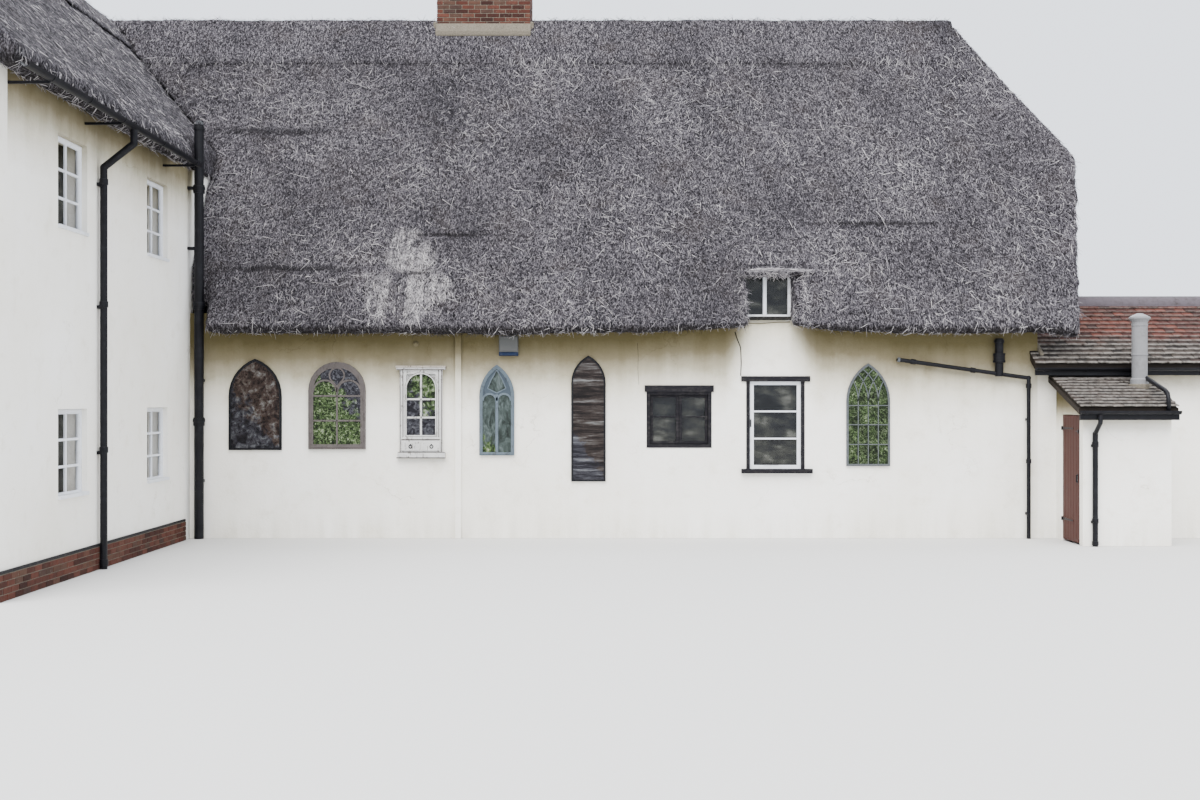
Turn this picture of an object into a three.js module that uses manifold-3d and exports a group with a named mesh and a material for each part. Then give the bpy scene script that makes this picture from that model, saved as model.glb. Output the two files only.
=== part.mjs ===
// A thatched cottage: a long range of one and a half storeys, a two-storey cross wing that comes
// forward at its left end, and a low tiled range with a lean-to at its right end.
// Millimetres. +X runs along the front to the right, +Y to the back, +Z up.
// The origin is the middle of the front wall's thickness, at ground level.

import * as THREE from "three";
import { mergeVertices } from "three/addons/utils/BufferGeometryUtils.js";
import Module from "manifold-3d";

const wasm = await Module();
wasm.setup();

// Driving dimensions

const seat = 0.3; // gap between two pieces that touch
const wallThick = 300;
const farOut = 14000; // past every edge of the house, for solids that only cut
const highUp = 9600; // over the ridge, for solids that only cut

const main = {
  left: -11160, // outer face of the left end wall
  right: 7000, // outer face of the right end wall
  front: -wallThick / 2,
  depth: 6000,
  ridge: 9010,
  eaveTop: 3400, // top of the eave's rounded nose
  eaveLow: 3000, // below the eave's cut edge
  eaveReach: 540, // from the wall's outer face to the nose
  thatch: 350, // thickness, square to the slope
  capHeight: 90,
  capReach: 550,
};
main.back = main.front + main.depth;
main.ridgeY = main.front + main.depth / 2;

const hip = {
  slope: 1.594, // rise over run of every half-hip
  rightRidgeEnd: 6350,
  rightVerge: 8050, // where the hip meets the verge
  rightEaveVerge: 7500, // where the eave meets the verge
  rightCut: 6150, // height of the hip's cut lower edge
  leftRidgeEnd: -10510,
  leftVerge: -11660,
  leftCut: 6950,
  wingRidgeEnd: -6950,
  wingVerge: -8050,
  wingCut: 7050,
};

const wing = {
  left: main.left,
  right: -6560, // outer face of the wall beside the garden
  front: -7600,
  ridge: main.ridge,
  eaveTop: 5980,
  eaveCut: 5800,
  eaveReach: 410,
  thatch: 330,
  notchX: -6500, // the eave stops here behind notchY, to let the vent pipe up
  notchY: -1300,
};
wing.ridgeX = (wing.left + wing.right) / 2;

// The eave's wavy lower edge, as [x, z]
const eaveLine = [
  [-12600, 3250], [-6200, 3250], [-3200, 3266], [-1600, 3234], [640, 3280], [1600, 3330], [2160, 3362],
  [3140, 3378], [4000, 3282], [5600, 3250], [7040, 3270], [hip.rightEaveVerge, 3190],
];

const floors = { ground: 100, upperLow: 2580, upperHigh: 2780 };

const chimney = { left: -2930, right: -1260, front: 2750, back: 3650, top: 10500 };

const casement = {
  left: 2339, right: 3274, bottom: 1098, top: 2519, post: 59,
  boardLeft: 2259, lintelRight: 3360, lintelTop: 2591, sillRight: 3394, sillBottom: 1039,
};
const darkWindow = {
  left: 744, right: 1786, bottom: 1445, top: 2354, rail: 55, lintelLeft: 714, lintelRight: 1819, lintelTop: 2445,
};
const dormer = {
  left: 2226, right: 3053, sillBottom: 3485, sillTop: 3543, top: 4265, rail: 45,
  cheekLeft: 2300, cheekBack: -165, // the thatch covers the window's left edge, as far back as this
  hoodLeft: 2352,
};

const backWindows = { centres: [-9000, -5200, -2400, 700], width: 1150, bottom: 1000, top: 2100 };
const backDoor = { left: 3300, right: 4220, top: 2050 };
const wingWindows = {
  places: [-5300, -1850], // along Y, in both side walls
  width: 1000,
  frontWidth: 1400,
  lowerBottom: 1000, lowerTop: 2100,
  upperBottom: 4300, upperTop: 5450,
};

const service = {
  left: main.right, right: 10300, front: main.front, back: 3050, thick: 200,
  eaveY: -420, eave: 2790, ridge: 3900, roofThick: 90, vergeLeft: 6880, vergeRight: 10400,
};
service.ridgeY = (service.front + service.back) / 2;

const leanTo = {
  left: 7300, right: 8640, front: -1430, thick: 150,
  eaveY: -1650, eave: 2100, topY: main.front, top: 2600, roofThick: 80, vergeLeft: 7180,
};
const door = {
  nearY: -1280, farY: -490, // the doorway in the lean-to's left wall
  head: 1985, leafNear: -1272, leafFar: -496, leafBottom: 30, leafTop: 1975, leafThick: 45,
  axisX: 7282, axisY: -493, // the hinge's upright axis
  pin: 7, knuckle: 12, knuckleHeight: 60, knuckleLows: [320, 1740],
};

const soilPipe = { x: 6360, radius: 65, y: -248, top: 3190, collarRadius: 90 };
const wastePipe = { radius: 33, y: -248, left: 4770, leftZ: 2850, right: 6830, rightZ: 2560 };
const ventStack = { x: -6387, y: -255, radius: 75, top: 6590 };
const wallPipe = { left: -2310, right: -2219, depth: 60, top: 3400 };
const alarmBox = { left: -1611, right: -1306, bottom: 2914, top: 3234, depth: 90 };
const gutterRadius = 57;
const gutterWall = 7;
const flue = { x: 8410, y: -750, radius: 118, top: 3480, capRadius: 155, capTop: 3560 };

// Colours, read by eye from the photograph

const finishes = {
  render: { color: 0xe6e0d0, roughness: 0.9 },
  thatch: { color: 0x6f6a68, roughness: 1 },
  ridgeThatch: { color: 0x7a736c, roughness: 1 },
  brick: { color: 0x8a4a38, roughness: 0.9 },
  clay: { color: 0xa5573a, roughness: 0.85 },
  floor: { color: 0x8a7a66, roughness: 0.8 },
  blackPaint: { color: 0x1e1f22, roughness: 0.5 },
  blackTimber: { color: 0x2a2622, roughness: 0.8 },
  whitePaint: { color: 0xe9e8e4, roughness: 0.5 },
  tile: { color: 0x6b5f55, roughness: 0.9 },
  doorPaint: { color: 0x5a3326, roughness: 0.6 },
  glass: { color: 0x8fa0a8, roughness: 0.1 },
  palePipe: { color: 0xe0dac8, roughness: 0.6 },
  greyWood: { color: 0x85786c, roughness: 0.8 },
  paleWood: { color: 0xd9d4c8, roughness: 0.7 },
  blueWood: { color: 0x7b8790, roughness: 0.6 },
  greyMetal: { color: 0x77787a, roughness: 0.5 },
  flueMetal: { color: 0xd8d8d4, roughness: 0.5 },
};

const house = new THREE.Group();

// Solids

function solidOf(geometry) {
  const bare = geometry.clone();
  bare.deleteAttribute("normal");
  bare.deleteAttribute("uv");
  const merged = mergeVertices(bare, 1e-3);
  return new wasm.Manifold(
    new wasm.Mesh({
      numProp: 3,
      vertProperties: new Float32Array(merged.attributes.position.array),
      triVerts: new Uint32Array(merged.index.array),
    }),
  );
}

function geometryOf(solid) {
  const mesh = solid.getMesh();
  const shared = new THREE.BufferGeometry();
  shared.setAttribute("position", new THREE.BufferAttribute(new Float32Array(mesh.vertProperties), 3));
  shared.setIndex(new THREE.BufferAttribute(new Uint32Array(mesh.triVerts), 1));
  const flat = shared.toNonIndexed();
  flat.computeVertexNormals();
  return flat;
}

function box(low, high) {
  const geometry = new THREE.BoxGeometry(high[0] - low[0], high[1] - low[1], high[2] - low[2]);
  geometry.translate((low[0] + high[0]) / 2, (low[1] + high[1]) / 2, (low[2] + high[2]) / 2);
  return solidOf(geometry);
}

function extruded(points, depth, start) {
  const shape = new THREE.Shape(points.map(([u, v]) => new THREE.Vector2(u, v)));
  const geometry = new THREE.ExtrudeGeometry(shape, { depth, bevelEnabled: false });
  geometry.translate(0, 0, start);
  return geometry;
}

function prism(points, holes, depth, basis) {
  const place = (geometry) => solidOf(geometry.applyMatrix4(basis));
  return holes.reduce(
    (solid, hole) => solid.subtract(place(extruded(hole, depth + 2, -1))), place(extruded(points, depth, 0)),
  );
}

// An outline of [y, z] points, drawn out from x0 to x1
function alongX(points, x0, x1, holes = []) {
  const basis = new THREE.Matrix4().makeBasis(
    new THREE.Vector3(0, 1, 0), new THREE.Vector3(0, 0, 1), new THREE.Vector3(1, 0, 0),
  );
  basis.setPosition(x0, 0, 0);
  return prism(points, holes, x1 - x0, basis);
}

// An outline of [x, z] points, drawn out from y0 to y1
function alongY(points, y0, y1, holes = []) {
  const basis = new THREE.Matrix4().makeBasis(
    new THREE.Vector3(1, 0, 0), new THREE.Vector3(0, 0, 1), new THREE.Vector3(0, -1, 0),
  );
  basis.setPosition(0, y1, 0);
  return prism(points, holes, y1 - y0, basis);
}

// An outline of [x, y] points, drawn up from z0 to z1
function upright(points, z0, z1, holes = []) {
  return prism(points, holes, z1 - z0, new THREE.Matrix4().makeTranslation(0, 0, z0));
}

function rectangle(u0, v0, u1, v1) {
  return [[u0, v0], [u1, v0], [u1, v1], [u0, v1]];
}

// A round bar from one point to another
function bar(from, to, radius, sides = 12) {
  const start = new THREE.Vector3(...from);
  const way = new THREE.Vector3(...to).sub(start);
  const geometry = new THREE.CylinderGeometry(radius, radius, way.length(), sides);
  geometry.translate(0, way.length() / 2, 0);
  const turn = new THREE.Quaternion().setFromUnitVectors(new THREE.Vector3(0, 1, 0), way.clone().normalize());
  geometry.applyQuaternion(turn);
  geometry.translate(start.x, start.y, start.z);
  return solidOf(geometry);
}

function ball(at, radius) {
  const geometry = new THREE.SphereGeometry(radius, 12, 8);
  geometry.translate(...at);
  return solidOf(geometry);
}

// A turned piece standing on z0, from [radius, height] points that start and end on the axis
function turned(profile, x, y, z0, sides = 20) {
  const geometry = new THREE.LatheGeometry(profile.map(([r, z]) => new THREE.Vector2(r, z)), sides);
  geometry.rotateX(Math.PI / 2);
  geometry.translate(x, y, z0);
  return solidOf(geometry);
}

function joined(solids) {
  return solids.reduce((sum, solid) => sum.add(solid));
}

function add(name, solid, finish) {
  const mesh = new THREE.Mesh(
    geometryOf(solid),
    new THREE.MeshStandardMaterial({ metalness: 0, ...finishes[finish] }),
  );
  mesh.name = name;
  house.add(mesh);
}

// Roof slopes of the thatch

function steepness(roof, run) {
  return (roof.ridge - roof.eaveTop) / run;
}

main.slope = steepness(main, main.depth / 2 + main.eaveReach);
wing.slope = steepness(wing, (wing.right - wing.left) / 2 + wing.eaveReach);

// Height of a slope's thickness, measured straight up
function plumb(thickness, slope) {
  return thickness * Math.hypot(1, slope);
}

main.plumb = plumb(main.thatch, main.slope);
wing.plumb = plumb(wing.thatch, wing.slope);
hip.plumb = plumb(main.thatch, hip.slope);

function mainUnder(y) {
  return main.ridge - main.plumb - main.slope * Math.abs(y - main.ridgeY);
}

function wingUnder(x) {
  return wing.ridge - wing.plumb - wing.slope * Math.abs(x - wing.ridgeX);
}

// Distance out from the ridge at which a slope's underside is at a height
function mainUnderReach(z) {
  return (main.ridge - main.plumb - z) / main.slope;
}

function wingUnderReach(z) {
  return (wing.ridge - wing.plumb - z) / wing.slope;
}

// Height of a half-hip, out from its ridge end
function hipTop(run) {
  return main.ridge - hip.slope * run;
}

function hipRun(z) {
  return (main.ridge - z) / hip.slope;
}

// Outer form of a slope pair, as an outline across the ridge with its nose at the eave
function tentOutline(centre, halfWidth, roof, low, grow) {
  const nose = halfWidth + roof.eaveReach + grow;
  const lip = nose - 70;
  return [
    [centre - lip, low], [centre - nose, roof.eaveTop + grow], [centre, roof.ridge + grow],
    [centre + nose, roof.eaveTop + grow], [centre + lip, low],
  ];
}

function voidOutline(centre, peak, slope, low) {
  const reach = (peak - low) / slope;
  return [[centre - reach, low], [centre, peak], [centre + reach, low]];
}

function mainOuter() {
  const section = alongX(
    tentOutline(main.ridgeY, main.depth / 2, main, main.eaveLow, 0), hip.leftVerge - 800, hip.rightVerge + 200,
  );
  const elevation = alongY(
    [
      [hip.leftVerge, eaveLine[0][1]],
      ...eaveLine.slice(1),
      [hip.rightVerge, hipTop(hip.rightVerge - hip.rightRidgeEnd)],
      [hip.rightRidgeEnd + hipRun(highUp), highUp],
      [hip.leftRidgeEnd - hipRun(highUp), highUp],
      [hip.leftVerge, hipTop(hip.leftRidgeEnd - hip.leftVerge)],
    ],
    main.front - 2000, main.back + 2000,
  );
  return section.intersect(elevation);
}

function mainInner() {
  const section = alongX(
    voidOutline(main.ridgeY, main.ridge - main.plumb, main.slope, main.eaveLow - 300), -farOut, farOut,
  );
  const low = main.eaveLow - 1000;
  const elevation = alongY(
    [
      [-farOut, low], [farOut, low], [farOut, hip.rightCut],
      [hip.rightRidgeEnd + hipRun(hip.rightCut + hip.plumb), hip.rightCut],
      [hip.rightRidgeEnd + hipRun(highUp + hip.plumb), highUp],
      [hip.leftRidgeEnd - hipRun(highUp + hip.plumb), highUp],
      [hip.leftRidgeEnd - hipRun(hip.leftCut + hip.plumb), hip.leftCut],
      [-farOut, hip.leftCut],
    ],
    -farOut, farOut,
  );
  return section.intersect(elevation);
}

function wingOuter(grow) {
  const section = alongY(
    tentOutline(wing.ridgeX, (wing.right - wing.left) / 2, wing, wing.eaveCut - 100, grow),
    hip.wingVerge - 200, main.ridgeY + grow,
  );
  const elevation = alongX(
    [
      [hip.wingVerge, wing.eaveCut - grow], [main.ridgeY + grow, wing.eaveCut - grow],
      [main.ridgeY + grow, highUp], [hip.wingRidgeEnd - hipRun(highUp), highUp],
      [hip.wingVerge, hipTop(hip.wingRidgeEnd - hip.wingVerge)],
    ],
    -farOut, farOut,
  );
  const notch = box([wing.notchX + grow, wing.notchY + grow, wing.eaveCut - 500], [0, 1500, highUp]);
  return section.intersect(elevation).subtract(notch);
}

function wingInner() {
  const section = alongY(
    voidOutline(wing.ridgeX, wing.ridge - wing.plumb, wing.slope, wing.eaveCut - 300), -farOut, farOut,
  );
  const low = wing.eaveCut - 600;
  const elevation = alongX(
    [
      [-farOut, low], [farOut, low], [farOut, highUp],
      [hip.wingRidgeEnd - hipRun(highUp + hip.plumb), highUp],
      [hip.wingRidgeEnd - hipRun(hip.wingCut + hip.plumb), hip.wingCut],
      [-farOut, hip.wingCut],
    ],
    -farOut, farOut,
  );
  return section.intersect(elevation);
}

// The hood of thatch that lifts over the dormer window
function dormerHood() {
  const low = dormer.top - 3;
  const section = alongX(
    [[-290, low], [-310, low + 78], [560, 5330], [560, 4700], [0, low]], dormer.hoodLeft - 400, dormer.right + 500,
  );
  const elevation = alongY(
    [
      [dormer.hoodLeft - 190, low], [dormer.right + 370, low], [dormer.right + 200, 5400],
      [dormer.hoodLeft - 20, 5400],
    ],
    -1000, 1500,
  );
  return section.intersect(elevation);
}

function chimneyHole() {
  return box(
    [chimney.left - seat, chimney.front - seat, 0], [chimney.right + seat, chimney.back + seat, chimney.top + 500],
  );
}

function mainThatch() {
  const wingBody = box([-farOut, -farOut, 0], [wing.right + seat, 1400, wingUnder(wing.right)]);
  const ventGap = box([-farOut, -2000, 2000], [ventStack.x + 187, main.front + 10, 4600]);
  const notchLow = main.eaveLow - 500;
  const dormerNotch = box([dormer.cheekLeft, -1500, notchLow], [dormer.right, 600, dormer.top])
    .add(box([dormer.left, dormer.cheekBack, notchLow], [dormer.cheekLeft + 10, 600, dormer.top]));
  return mainOuter()
    .add(dormerHood())
    .subtract(mainInner())
    .subtract(wingOuter(seat))
    .subtract(wingBody)
    .subtract(ventGap)
    .subtract(dormerNotch)
    .subtract(chimneyHole());
}

function capOutline(centre, roof, slope) {
  const drop = main.capReach * slope;
  return [
    [centre - main.capReach, roof.ridge - drop + seat],
    [centre, roof.ridge + seat],
    [centre + main.capReach, roof.ridge - drop + seat],
    [centre + main.capReach, roof.ridge - drop + main.capHeight],
    [centre, roof.ridge + main.capHeight],
    [centre - main.capReach, roof.ridge - drop + main.capHeight],
  ];
}

const mainCapPrism = alongX(
  capOutline(main.ridgeY, main, main.slope), hip.leftRidgeEnd, hip.rightRidgeEnd,
);
const wingCapPrism = alongY(
  capOutline(wing.ridgeX, wing, wing.slope), hip.wingRidgeEnd, main.ridgeY - 120,
);

add("main_thatch", mainThatch(), "thatch");
add("wing_thatch", wingOuter(0).subtract(wingInner()).subtract(mainInner()), "thatch");
// A solid swept a little to every side, so that what is cut by it keeps clear of it
function widened(solid) {
  const steps = [[seat, 0, 0], [-seat, 0, 0], [0, -seat, 0], [0, seat, 0], [0, 0, seat]];
  return joined([solid, ...steps.map((step) => solid.translate(step))]);
}

add(
  "main_ridge_cap",
  mainCapPrism.subtract(wingOuter(seat)).subtract(widened(wingCapPrism)).subtract(chimneyHole()),
  "ridgeThatch",
);
add("wing_ridge_cap", wingCapPrism.subtract(widened(mainOuter())), "ridgeThatch");

// Walls of the main range

const mainWallTop = mainUnder(main.front) - seat;

function frontWall() {
  const holes = [
    rectangle(casement.left, casement.bottom, casement.right, casement.top),
    rectangle(darkWindow.left, darkWindow.bottom, darkWindow.right, darkWindow.top),
  ];
  const outline = [
    [wing.right + seat, 0], [main.right, 0], [main.right, mainWallTop],
    [dormer.right, mainWallTop], [dormer.right, dormer.sillBottom],
    [dormer.left, dormer.sillBottom], [dormer.left, mainWallTop], [wing.right + seat, mainWallTop],
  ];
  return alongY(outline, main.front, main.front + wallThick, holes);
}

function backWall() {
  const holes = backWindows.centres.map((x) =>
    rectangle(x - backWindows.width / 2, backWindows.bottom, x + backWindows.width / 2, backWindows.top),
  );
  const outline = [
    [main.left, 0], [backDoor.left, 0], [backDoor.left, backDoor.top], [backDoor.right, backDoor.top],
    [backDoor.right, 0], [main.right, 0], [main.right, mainWallTop], [main.left, mainWallTop],
  ];
  return alongY(outline, main.back - wallThick, main.back, holes);
}

// The half-hip's underside over an end wall, where the wall's top is cut level
function gableTop(outerFace, ridgeEnd) {
  return hipTop(Math.abs(outerFace - ridgeEnd)) - hip.plumb - 2 * seat;
}

const innerFront = main.front + wallThick + seat;
const innerBack = main.back - wallThick - seat;

function rightGable() {
  const top = gableTop(main.right, hip.rightRidgeEnd);
  const reach = mainUnderReach(top + 2 * seat);
  const outline = [
    [innerFront, 0], [innerBack, 0], [innerBack, mainUnder(innerBack) - 2 * seat],
    [main.ridgeY + reach, top], [main.ridgeY - reach, top], [innerFront, mainUnder(innerFront) - 2 * seat],
  ];
  return alongX(outline, main.right - wallThick, main.right);
}

// Walls of the wing

const wingWallTop = wingUnder(wing.right) - seat;
const wingInnerFront = wing.front + wallThick + seat;
// Where the main roof's underside is as high as the wing's walls
const wingWallEnd = main.ridgeY - mainUnderReach(wingWallTop + 2 * seat);

function sideWindows() {
  const half = wingWindows.width / 2;
  return wingWindows.places.flatMap((y) => [
    rectangle(y - half, wingWindows.lowerBottom, y + half, wingWindows.lowerTop),
    rectangle(y - half, wingWindows.upperBottom, y + half, wingWindows.upperTop),
  ]);
}

function leftWall() {
  const top = gableTop(main.left, hip.leftRidgeEnd);
  const reach = mainUnderReach(top + 2 * seat);
  const outline = [
    [wingInnerFront, 0], [innerBack, 0], [innerBack, mainUnder(innerBack) - 2 * seat],
    [main.ridgeY + reach, top], [main.ridgeY - reach, top], [wingWallEnd, wingWallTop], [wingInnerFront, wingWallTop],
  ];
  return alongX(outline, wing.left, wing.left + wallThick, sideWindows());
}

function wingEastWall() {
  const behind = main.front + wallThick;
  const outline = [
    [wingInnerFront, 0], [behind, 0], [behind, mainUnder(behind) - 2 * seat],
    [wingWallEnd, wingWallTop], [wingInnerFront, wingWallTop],
  ];
  return alongX(outline, wing.right - wallThick, wing.right, sideWindows());
}

function wingFrontWall() {
  const top = gableTop(wing.front, hip.wingRidgeEnd);
  const reach = wingUnderReach(top + 2 * seat);
  const half = wingWindows.frontWidth / 2;
  const outline = [
    [wing.left, 0], [wing.right, 0], [wing.right, wingWallTop],
    [wing.ridgeX + reach, top], [wing.ridgeX - reach, top], [wing.left, wingWallTop],
  ];
  const holes = [
    rectangle(wing.ridgeX - half, wingWindows.lowerBottom, wing.ridgeX + half, wingWindows.lowerTop),
    rectangle(wing.ridgeX - half, wingWindows.upperBottom, wing.ridgeX + half, wingWindows.upperTop),
  ];
  return alongY(outline, wing.front, wing.front + wallThick, holes);
}

add("front_wall", frontWall(), "render");
add("back_wall", backWall(), "render");
add("right_gable_wall", rightGable(), "render");
add("left_wall", leftWall(), "render");
add("wing_east_wall", wingEastWall(), "render");
add("wing_front_wall", wingFrontWall(), "render");

// A brick footing that stands proud of the wing's garden wall
const plinth = { height: 300, proud: 25, end: main.front - 330 };
add(
  "wing_plinth",
  box([wing.right + seat, wing.front, 0], [wing.right + seat + plinth.proud, plinth.end, plinth.height]),
  "brick",
);

// Floors

function floorOutline() {
  const left = main.left + wallThick + seat;
  const right = main.right - wallThick - seat;
  const step = wing.right - wallThick - seat;
  return [
    [left, wingInnerFront], [step, wingInnerFront], [step, innerFront], [right, innerFront],
    [right, innerBack], [left, innerBack],
  ];
}

const chimneyOutline = rectangle(
  chimney.left - seat, chimney.front - seat, chimney.right + seat, chimney.back + seat,
);
add("ground_floor", upright(floorOutline(), 0, floors.ground), "floor");
add("upper_floor", upright(floorOutline(), floors.upperLow, floors.upperHigh, [chimneyOutline]), "floor");

// Chimney

function chimneyStack() {
  const { left, right, front, back, top } = chimney;
  const course = (low, high, out) => box([left - out, front - out, low], [right + out, back + out, high]);
  return joined([
    box([left, front, floors.ground + seat], [right, back, top]),
    course(top - 430, top - 355, 28),
    course(top - 355, top - 80, 56),
    course(top - 80, top, 28),
  ]);
}

function chimneyPots() {
  const { left, right, front, back, top } = chimney;
  const bed = 90;
  const pot = [
    [0, 0], [150, 0], [135, 120], [115, 420], [140, 430], [140, 470], [105, 470], [95, 250], [0, 250],
  ];
  const middle = (front + back) / 2;
  const places = [0.22, 0.5, 0.78].map((share) => left + share * (right - left));
  const base = box([left + 60, front + 60, top + seat], [right - 60, back - 60, top + seat + bed]);
  return joined([base, ...places.map((x) => turned(pot, x, middle, top + seat + bed - 10, 16))]);
}

add("chimney_stack", chimneyStack(), "brick");
add("chimney_pots", chimneyPots(), "clay");

// Windows and the back door

const face = main.front - seat; // where a piece lies against the front wall's outer face

function casementSurround() {
  const { left, right, bottom, top, post } = casement;
  const proud = main.front - 12;
  const deep = main.front + 90;
  return joined([
    box([left + seat, proud, bottom + seat], [left + post, deep, top - seat]),
    box([right - post, proud, bottom + seat], [right - seat, deep, top - seat]),
    box([casement.boardLeft, face - 32, top - 14], [casement.lintelRight, face, casement.lintelTop]),
    box([casement.boardLeft, face - 85, casement.sillBottom], [casement.sillRight, face, bottom + 12]),
  ]);
}

// A rectangular frame in the XZ plane
function ring(left, right, bottom, top, rail, y0, y1) {
  return alongY(
    rectangle(left, bottom, right, top), y0, y1,
    [rectangle(left + rail, bottom + rail, right - rail, top - rail)],
  );
}

function pane(left, right, bottom, top, y) {
  return box([left, y, bottom], [right, y + 8, top]);
}

function frontWindows() {
  const sashLeft = casement.left + casement.post + seat;
  const sashRight = casement.right - casement.post - seat;
  const sashBack = main.front + 70;
  add("casement_surround", casementSurround(), "blackTimber");
  add(
    "casement_sash",
    ring(sashLeft, sashRight, casement.bottom + seat, casement.top - seat, 60, main.front + 20, sashBack),
    "whitePaint",
  );
  add(
    "casement_glass",
    pane(sashLeft + 25, sashRight - 25, casement.bottom + 25, casement.top - 25, sashBack + seat),
    "glass",
  );
  const { left, right, bottom, top, rail } = darkWindow;
  const frameBack = main.front + 80;
  add(
    "dark_window_frame",
    joined([
      ring(left + seat, right - seat, bottom + seat, top - seat, rail, main.front - 12, frameBack),
      box([darkWindow.lintelLeft, face - 34, top - 14], [darkWindow.lintelRight, face, darkWindow.lintelTop]),
    ]),
    "blackTimber",
  );
  add("dark_window_glass", pane(left + 25, right - 25, bottom + 25, top - 25, frameBack + seat), "glass");
  const dormerBack = main.front + 90;
  add(
    "dormer_frame",
    joined([
      ring(
        dormer.left + seat, dormer.right - seat, dormer.sillTop - 10, dormer.top - seat, dormer.rail,
        main.front + 10, dormerBack,
      ),
      box(
        [dormer.left + seat, main.front + 10, dormer.sillBottom + seat],
        [dormer.right - seat, dormerBack, dormer.sillTop],
      ),
      box(
        [dormer.cheekLeft + seat, main.front - 60, dormer.sillBottom + seat],
        [dormer.right - seat, main.front + 20, dormer.sillTop],
      ),
    ]),
    "whitePaint",
  );
  add(
    "dormer_glass",
    pane(dormer.left + 25, dormer.right - 25, dormer.sillTop + 25, dormer.top - 25, dormerBack + seat),
    "glass",
  );
}

frontWindows();

// One sheet of glass a storey, along the inside of the wing's three walls
function wingGlass(bottom, top) {
  const skin = 12;
  const right = wing.right - wallThick - seat;
  const left = wing.left + wallThick + seat;
  const front = wing.front + wallThick + seat;
  const back = wingWindows.places[1] + wingWindows.width / 2 + 60;
  return upright(
    [
      [right, back], [right, front], [left, front], [left, back],
      [left + skin, back], [left + skin, front + skin], [right - skin, front + skin], [right - skin, back],
    ],
    bottom - 50, top + 50,
  );
}

add("wing_lower_glass", wingGlass(wingWindows.lowerBottom, wingWindows.lowerTop), "glass");
add("wing_upper_glass", wingGlass(wingWindows.upperBottom, wingWindows.upperTop), "glass");

function backGlass() {
  const half = backWindows.width / 2 + 50;
  const y = main.back - wallThick - seat;
  const last = backWindows.centres.length - 1;
  return box(
    [backWindows.centres[0] - half, y - 12, backWindows.bottom - 50],
    [backWindows.centres[last] + half, y, backWindows.top + 50],
  );
}

add("back_glass", backGlass(), "glass");
add(
  "back_door",
  box([backDoor.left + seat, main.back - 110, 8], [backDoor.right - seat, main.back - 60, backDoor.top - seat]),
  "doorPaint",
);

// Tiled range at the right

service.slope = (service.ridge - service.eave) / (service.ridgeY - service.eaveY);
service.plumb = plumb(service.roofThick, service.slope);

function serviceUnder(y) {
  return service.ridge - service.plumb - service.slope * Math.abs(y - service.ridgeY);
}

function serviceSlope(side) {
  const eaveY = service.ridgeY + side * (service.ridgeY - service.eaveY);
  const ridgeY = service.ridgeY + side * seat;
  return alongX(
    [
      [eaveY, service.eave], [ridgeY, service.ridge],
      [ridgeY, service.ridge - service.plumb], [eaveY, service.eave - service.plumb],
    ],
    service.vergeLeft, service.vergeRight,
  ).subtract(box([0, main.front - seat, 0], [service.left + seat, farOut, highUp]));
}

const serviceWallTop = serviceUnder(service.front) - seat;
const serviceLeft = service.left + seat;
add(
  "service_front_wall",
  box([serviceLeft, service.front, 0], [service.right, service.front + service.thick, serviceWallTop]), "render",
);
add(
  "service_back_wall",
  box([serviceLeft, service.back - service.thick, 0], [service.right, service.back, serviceWallTop]), "render",
);

function serviceEndWall() {
  const nearY = service.front + service.thick + seat;
  const farY = service.back - service.thick - seat;
  return alongX(
    [
      [nearY, 0], [farY, 0], [farY, serviceUnder(farY) - seat],
      [service.ridgeY, serviceUnder(service.ridgeY) - seat], [nearY, serviceUnder(nearY) - seat],
    ],
    service.right - service.thick, service.right,
  );
}

add("service_end_wall", serviceEndWall(), "render");
add("service_front_roof", serviceSlope(-1), "tile");
add("service_back_roof", serviceSlope(1), "tile");

// A half-round gutter on its board, along X
function gutterWithBoard(x0, x1, edgeY, boardLow, boardTop, rimZ) {
  const centreY = edgeY - 1 - gutterRadius;
  const steps = 8;
  const arc = (radius, i) => {
    const angle = Math.PI + (Math.PI * i) / steps;
    return [centreY + radius * Math.cos(angle), rimZ + radius * Math.sin(angle)];
  };
  const outer = Array.from({ length: steps + 1 }, (_, i) => arc(gutterRadius, i));
  const inner = Array.from({ length: steps + 1 }, (_, i) => arc(gutterRadius - gutterWall, steps - i));
  const channel = alongX([...outer, ...inner], x0, x1);
  return channel.add(box([x0 + 2, edgeY - 22, boardLow], [x1 - 2, edgeY + 25, boardTop]));
}

add(
  "service_gutter",
  gutterWithBoard(
    service.vergeLeft, service.vergeRight - 40, service.eaveY, 2600, service.eave - service.plumb - seat, 2720,
  ),
  "blackPaint",
);

// Lean-to

leanTo.slope = (leanTo.top - leanTo.eave) / (leanTo.topY - leanTo.eaveY);
leanTo.plumb = plumb(leanTo.roofThick, leanTo.slope);

function leanToUnder(y) {
  return leanTo.eave - leanTo.plumb + leanTo.slope * (y - leanTo.eaveY);
}

// A piece of a side wall between two places along Y, with its top under the roof's slope
function leanToSide(x0, x1, nearY, farY, bottom) {
  return alongX(
    [[nearY, bottom], [farY, bottom], [farY, leanToUnder(farY) - seat], [nearY, leanToUnder(nearY) - seat]], x0, x1,
  );
}

const leanToBack = main.front - seat;
const leanToInnerFront = leanTo.front + leanTo.thick;
const doorSideInner = leanTo.left + leanTo.thick;
add(
  "lean_to_front_wall",
  leanToSide(leanTo.left, leanTo.right, leanTo.front, leanToInnerFront, 0), "render",
);
add(
  "lean_to_end_wall",
  leanToSide(leanTo.right - leanTo.thick, leanTo.right, leanToInnerFront + seat, leanToBack, 0), "render",
);

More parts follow.
